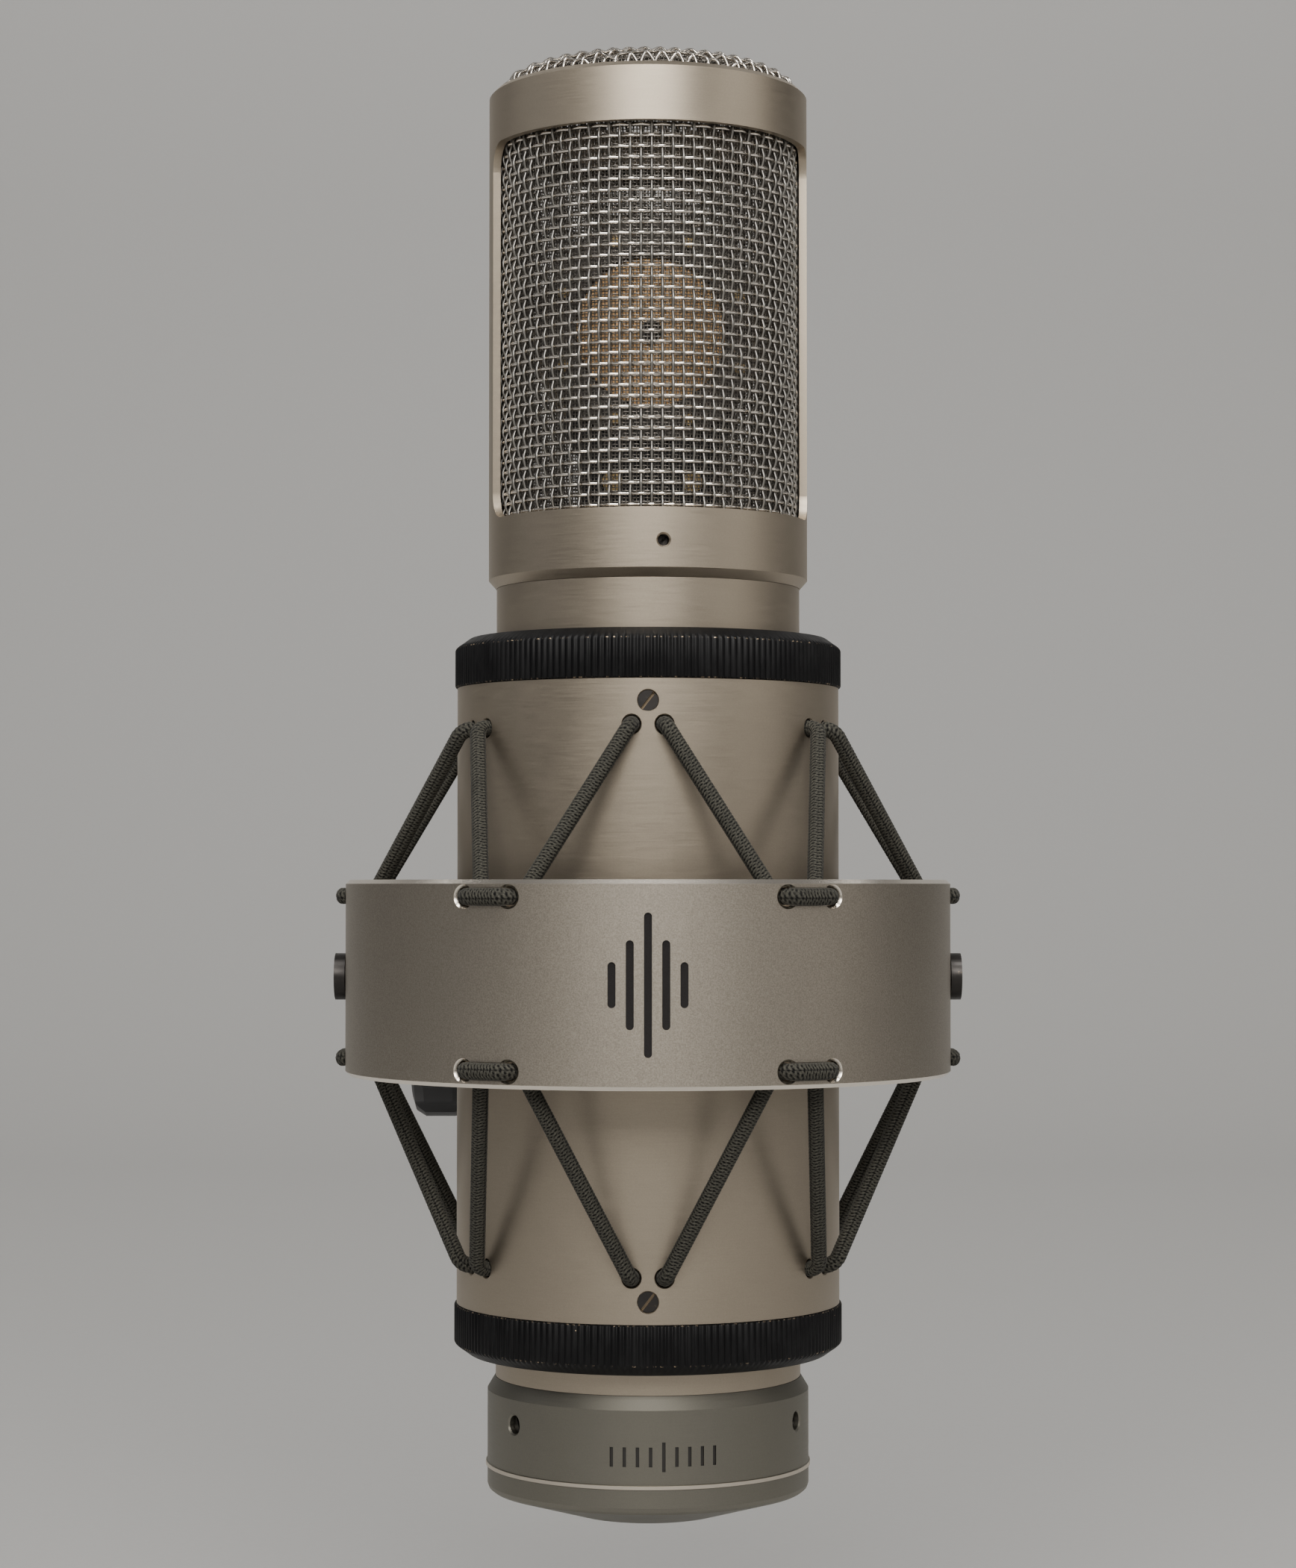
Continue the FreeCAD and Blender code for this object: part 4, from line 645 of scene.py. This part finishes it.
def rounded_loop(corners, step):
    """Evenly spaced points along straight runs joined by tangent arcs, as a closed loop."""
    points = [around(radius, FRONT + angle, level) for radius, angle, level, bend in corners]
    count = len(points)
    fine = []
    for index, here in enumerate(points):
        before, after = points[index - 1], points[(index + 1) % count]
        arriving, leaving = (here - before).normalized(), (after - here).normalized()
        turn = arriving.angle(leaving)
        bend = corners[index][3]
        reach = bend * math.tan(turn / 2)
        centre = here + (leaving - arriving).normalized() * (bend / math.cos(turn / 2))
        start = here - arriving * reach
        spoke = start - centre
        for part in range(13):
            swing = turn * part / 12
            fine.append(centre + spoke * math.cos(swing) + arriving * bend * math.sin(swing))
    fine = np.array([tuple(point) for point in fine])
    closed = np.vstack([fine, fine[:1]])
    gaps = np.linalg.norm(np.diff(closed, axis=0), axis=1)
    travel = np.concatenate([[0.0], np.cumsum(gaps)])
    total = travel[-1]
    rows = int(round(total / step))
    rows -= rows % 6
    where = np.arange(rows) * total / rows
    return np.column_stack([np.interp(where, travel, closed[:, axis]) for axis in range(3)]), total


def elastic_cord(name, node, side, surface):
    """Braided endless cord laced between sleeve and ring, flattened where it crosses the ring."""
    corners = []
    for sixth in range(6):
        corners += [(radius, angle + sixth * TAU / 6, level, bend)
                    for radius, angle, level, bend in elastic_route(side)]
    columns = CORD_SIDES
    line, total = rounded_loop(corners, ROW_STEP)
    rows = len(line)
    ahead = np.roll(line, -1, axis=0) - np.roll(line, 1, axis=0)
    ahead /= np.linalg.norm(ahead, axis=1)[:, None]
    out = line - np.array([AXIS_X, AXIS_Y, 0.0])
    out[:, 2] = 0.0
    out /= np.linalg.norm(out, axis=1)[:, None]
    side_way = transported(ahead, np.array([0.0, 0.0, 1.0]))
    lift = np.cross(ahead, side_way)
    turn = np.arange(columns)[None, :]
    weave = braid(np.arange(rows)[:, None] / rows, turn / columns, round(total / STITCH))
    radius = (1.0 + BRAID_HEIGHT * weave) * CORD_RADIUS
    distance = np.hypot(line[:, 0] - AXIS_X, line[:, 1] - AXIS_Y)
    squeeze = np.clip((distance - RING_RADIUS) / (0.5 * MM), 0.0, 1.0)[:, None]
    spin = turn * TAU / columns
    across = (np.cos(spin)[:, :, None] * side_way[:, None, :]
              + np.sin(spin)[:, :, None] * lift[:, None, :])
    radial = np.einsum("rcx,rx->rc", across, out)
    shape = across * radius[:, :, None]
    shape -= out[:, None, :] * (radial * radius * 0.14 * squeeze)[:, :, None]
    upright = np.array([0.0, 0.0, 1.0])
    shape += upright[None, None, :] * (across[:, :, 2] * radius * 0.05 * squeeze)[:, :, None]
    points = (line[:, None, :] + shape).reshape(-1, 3)
    faces = tube_faces(rows, columns, 0, True)
    piece = new_piece(name, points, faces, None, surface, [node])
    yarn = piece.data.attributes.new("yarn", "FLOAT", "POINT")
    yarn.data.foreach_set("value", weave.reshape(-1).astype(np.float32))
    cord_uv(piece, rows, columns, total)
    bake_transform(piece)


def braid(run, turn, stitches):
    """Height of a braid from 0 to 1: columns of slanted floats, leaning in turn each way."""
    column = turn * BRAID_COLUMNS
    inside = column - np.floor(column)
    lean = np.where(np.floor(column) % 2 == 0, inside, 1.0 - inside)
    ridge = np.abs(np.sin(np.pi * (run * stitches + lean * 0.55)))
    crease = np.clip(4.0 * inside * (1.0 - inside), 0.0, 1.0) ** 0.4
    return ridge ** 0.8 * (0.6 + 0.4 * crease)


def transported(ahead, seed):
    """A side direction carried along the cord without twist, closed by spreading the leftover turn."""
    side = np.zeros_like(ahead)
    here = np.cross(ahead[0], seed)
    here /= np.linalg.norm(here)
    for index, way in enumerate(ahead):
        here = here - way * np.dot(here, way)
        here /= np.linalg.norm(here)
        side[index] = here
    final = here - ahead[0] * np.dot(here, ahead[0])
    final /= np.linalg.norm(final)
    lag = math.atan2(np.dot(np.cross(final, side[0]), ahead[0]), np.dot(final, side[0]))
    spread = lag * np.arange(len(ahead)) / len(ahead)
    cross = np.cross(ahead, side)
    return side * np.cos(spread)[:, None] + cross * np.sin(spread)[:, None]


def cord_uv(piece, rows, columns, total):
    """UVs in cord diameters along the run, and three to a turn round it."""
    layer = piece.data.uv_layers.new(name="braid")
    corners = np.zeros(len(piece.data.loops), dtype=np.int32)
    piece.data.loops.foreach_get("vertex_index", corners)
    row, column = corners // columns, corners % columns
    face = np.arange(len(corners)) // 4
    face_row, face_column = face // columns, face % columns
    row = np.where(row < face_row, row + rows, row)
    column = np.where(column < face_column, column + columns, column)
    along, round_cord = row * total / rows / (2.4 * MM), column / columns * 3.0
    uvs = np.column_stack([along, round_cord]).astype(np.float32)
    layer.data.foreach_set("uv", uvs.reshape(-1))


# ------------------------------------------------------------------ stage

def stage():
    """Pale seamless floor below the reach of the tilting mount, soft lights and the camera."""
    reach, bend = 2.2, 0.6
    floor = CAD_BOUNDS[0][2] - TILT_ROOM
    back = 1.1
    profile = [(-reach, 0.0), (back, 0.0)]
    for step in range(1, 13):
        swing = step / 12 * math.pi / 2
        profile.append((back + bend * math.sin(swing), bend * (1 - math.cos(swing))))
    profile.append((back + bend, reach))
    points, faces = [], []
    for depth, height in profile:
        points += [(-reach * 1.6, depth, floor + height), (reach * 1.6, depth, floor + height)]
    for index in range(len(profile) - 1):
        faces.append((2 * index, 2 * index + 1, 2 * index + 3, 2 * index + 2))
    data = bpy.data.meshes.new("floor")
    data.from_pydata(points, [], faces)
    data.polygons.foreach_set("use_smooth", [True] * len(faces))
    sweep = bpy.data.objects.new("floor", data)
    bpy.context.scene.collection.objects.link(sweep)
    paper = Surface("floor_paper", Roughness=0.9)
    fibre = paper.noise(paper.place((900, 900, 900)), 1.0, 3.0)
    paper.set("Base Color", paper.mix(fibre, (0.47, 0.465, 0.455), (0.50, 0.495, 0.485)))
    paper.set("Normal", paper.bump(fibre, 0.05, 0.0002))
    paint(paper, sweep)
    lights()
    camera()


def area_light(name, spot, target, size, power, colour):
    """A soft rectangular lamp aimed at a point."""
    data = bpy.data.lights.new(name, "AREA")
    data.shape = "RECTANGLE"
    data.size, data.size_y = size
    data.energy = power
    data.color = colour
    lamp = bpy.data.objects.new(name, data)
    lamp.location = spot
    lamp.rotation_euler = (Vector(target) - Vector(spot)).to_track_quat("-Z", "Y").to_euler()
    bpy.context.scene.collection.objects.link(lamp)


def lights():
    """A broad key behind the camera, a lamp overhead, a weak fill at each side and a wall lamp."""
    aim = (AXIS_X, AXIS_Y, RING_LEVEL + 0.02)
    area_light("key", (-0.02, -1.3, 0.78), aim, (0.95, 0.6), 17.0, (1.0, 0.97, 0.93))
    area_light("overhead", (0.0, -0.55, 1.2), aim, (0.6, 0.25), 9.5, (1.0, 0.985, 0.96))
    area_light("left", (-1.1, -0.1, 0.55), aim, (0.9, 0.6), 0.5, (0.98, 0.98, 1.0))
    area_light("right", (1.1, -0.5, 0.50), aim, (0.7, 0.6), 1.6, (1.0, 0.95, 0.89))
    area_light("wall", (0.0, 0.75, 1.5), (0.0, 1.7, 0.75), (2.6, 0.4), 15.0, (1.0, 0.985, 0.96))
    world = bpy.data.worlds.new("studio")
    world.use_nodes = True
    shade = world.node_tree.nodes["Background"]
    shade.inputs["Color"].default_value = (0.90, 0.90, 0.90, 1.0)
    shade.inputs["Strength"].default_value = 0.13
    bpy.context.scene.world = world
    bpy.context.scene.view_settings.view_transform = "AgX"


def camera():
    """Half a metre in front of the axis, near the ring's top, tilted up by less than two degrees."""
    data = bpy.data.cameras.new("camera")
    data.sensor_fit = "AUTO"
    data.sensor_width = 36.0
    data.lens = 76.99
    data.clip_start = 0.01
    eye = bpy.data.objects.new("camera", data)
    eye.location = (AXIS_X, AXIS_Y - 0.505, RING_LEVEL + 13.6 * MM)
    eye.rotation_euler = (math.radians(90 + 1.74), 0.0, 0.0)
    bpy.context.scene.collection.objects.link(eye)
    bpy.context.scene.camera = eye


# ------------------------------------------------------------------ assembly

nickel = satin_nickel("satin_nickel")
paint(nickel, "head_shell", "body_tube", "cradle_sleeve", "mesh_retaining_ring", "connector_shell")
# The base cup is the same nickel as the sleeve, given about half its tone as painted shade.
paint(satin_nickel("satin_nickel_base_shaded", (0.225, 0.215, 0.182), 0.44, SCALE_LEVEL), "base_cup")
paint(blasted_nickel(), "suspension_ring")
brass = plain_metal("capsule_brass", (0.62, 0.45, 0.22), 0.3)
paint(plain_metal("capsule_ring", (0.15, 0.14, 0.13), 0.42), "diaphragm_ring_front", "diaphragm_ring_rear")
paint(brass, "capsule_plate_front", "capsule_plate_rear", "capsule_screws", "saddle_screws",
      "knob_insert", "thread_insert", "connector_pins")
paint(gold_film(), "diaphragm_front", "diaphragm_rear")
plastic = dull_black("black_plastic", (0.014, 0.014, 0.015), 0.48)
paint(plastic, "capsule_saddle", "head_base", "connector_insert", "clamp_knob", "upper_pressure_ring",
      "lower_pressure_ring", "swivel_washers")
paint(dark_oxide("dark_oxide"), "capsule_terminals", "head_screws", "base_screws", "ring_plug_screws",
      "lug_screw", "swivel_bolt", "knob_washer")
paint(dark_oxide("dark_oxide_slotted", SLEEVE_RADIUS - 0.6 * MM), "sleeve_set_screws")
anodised = anodised_black()
paint(anodised, "upper_thread_bush", "lower_thread_bush")
paint(dull_black("black_paint", (0.016, 0.016, 0.017), 0.42, 2200.0, 0.4), "stand_adapter", "swivel_lug")
paint(dull_black("rubber", (0.018, 0.018, 0.018), 0.75, 700.0, 0.2), "upper_grip_rubber",
      "lower_grip_rubber", "saddle_isolator", "tube_clip", "transformer_pad")
paint(plain_metal("chassis", (0.62, 0.62, 0.62), 0.35), "chassis_rails", "bottom_plate")
paint(solder_mask(), "circuit_board")
paint(tube_glass(), "amplifier_tube")
paint(tinted("socket_ceramic", (0.82, 0.80, 0.75), (0.74, 0.72, 0.66), 0.55, 600.0), "tube_socket")
paint(plain_metal("core_steel", (0.16, 0.16, 0.17), 0.5, 0.6), "transformer_core")
paint(winding(), "transformer_coil")
paint(tinted("capacitor_film", (0.42, 0.07, 0.03), (0.34, 0.05, 0.02), 0.3, 500.0), "capacitors")

# One wire metal in two tones: the uprights get a dark copy as painted shade and the hoops, with the dome
# wires, a bright copy as painted highlight.
woven_meshes(wire_metal("wire_mesh_warp_shaded", (0.27, 0.26, 0.24), 0.32),
             wire_metal("wire_mesh", (0.74, 0.69, 0.62), 0.16),
             wire_metal("fine_wire", (0.28, 0.26, 0.235), 0.34))
knurled_collar("upper_collar", "upper_clamp", anodised)
knurled_collar("lower_collar", "lower_clamp", anodised)
cord_surface = braided_cord()
elastic_cord("upper_elastic_cord", "upper_elastic", 1, cord_surface)
elastic_cord("lower_elastic_cord", "lower_elastic", -1, cord_surface)
stage()
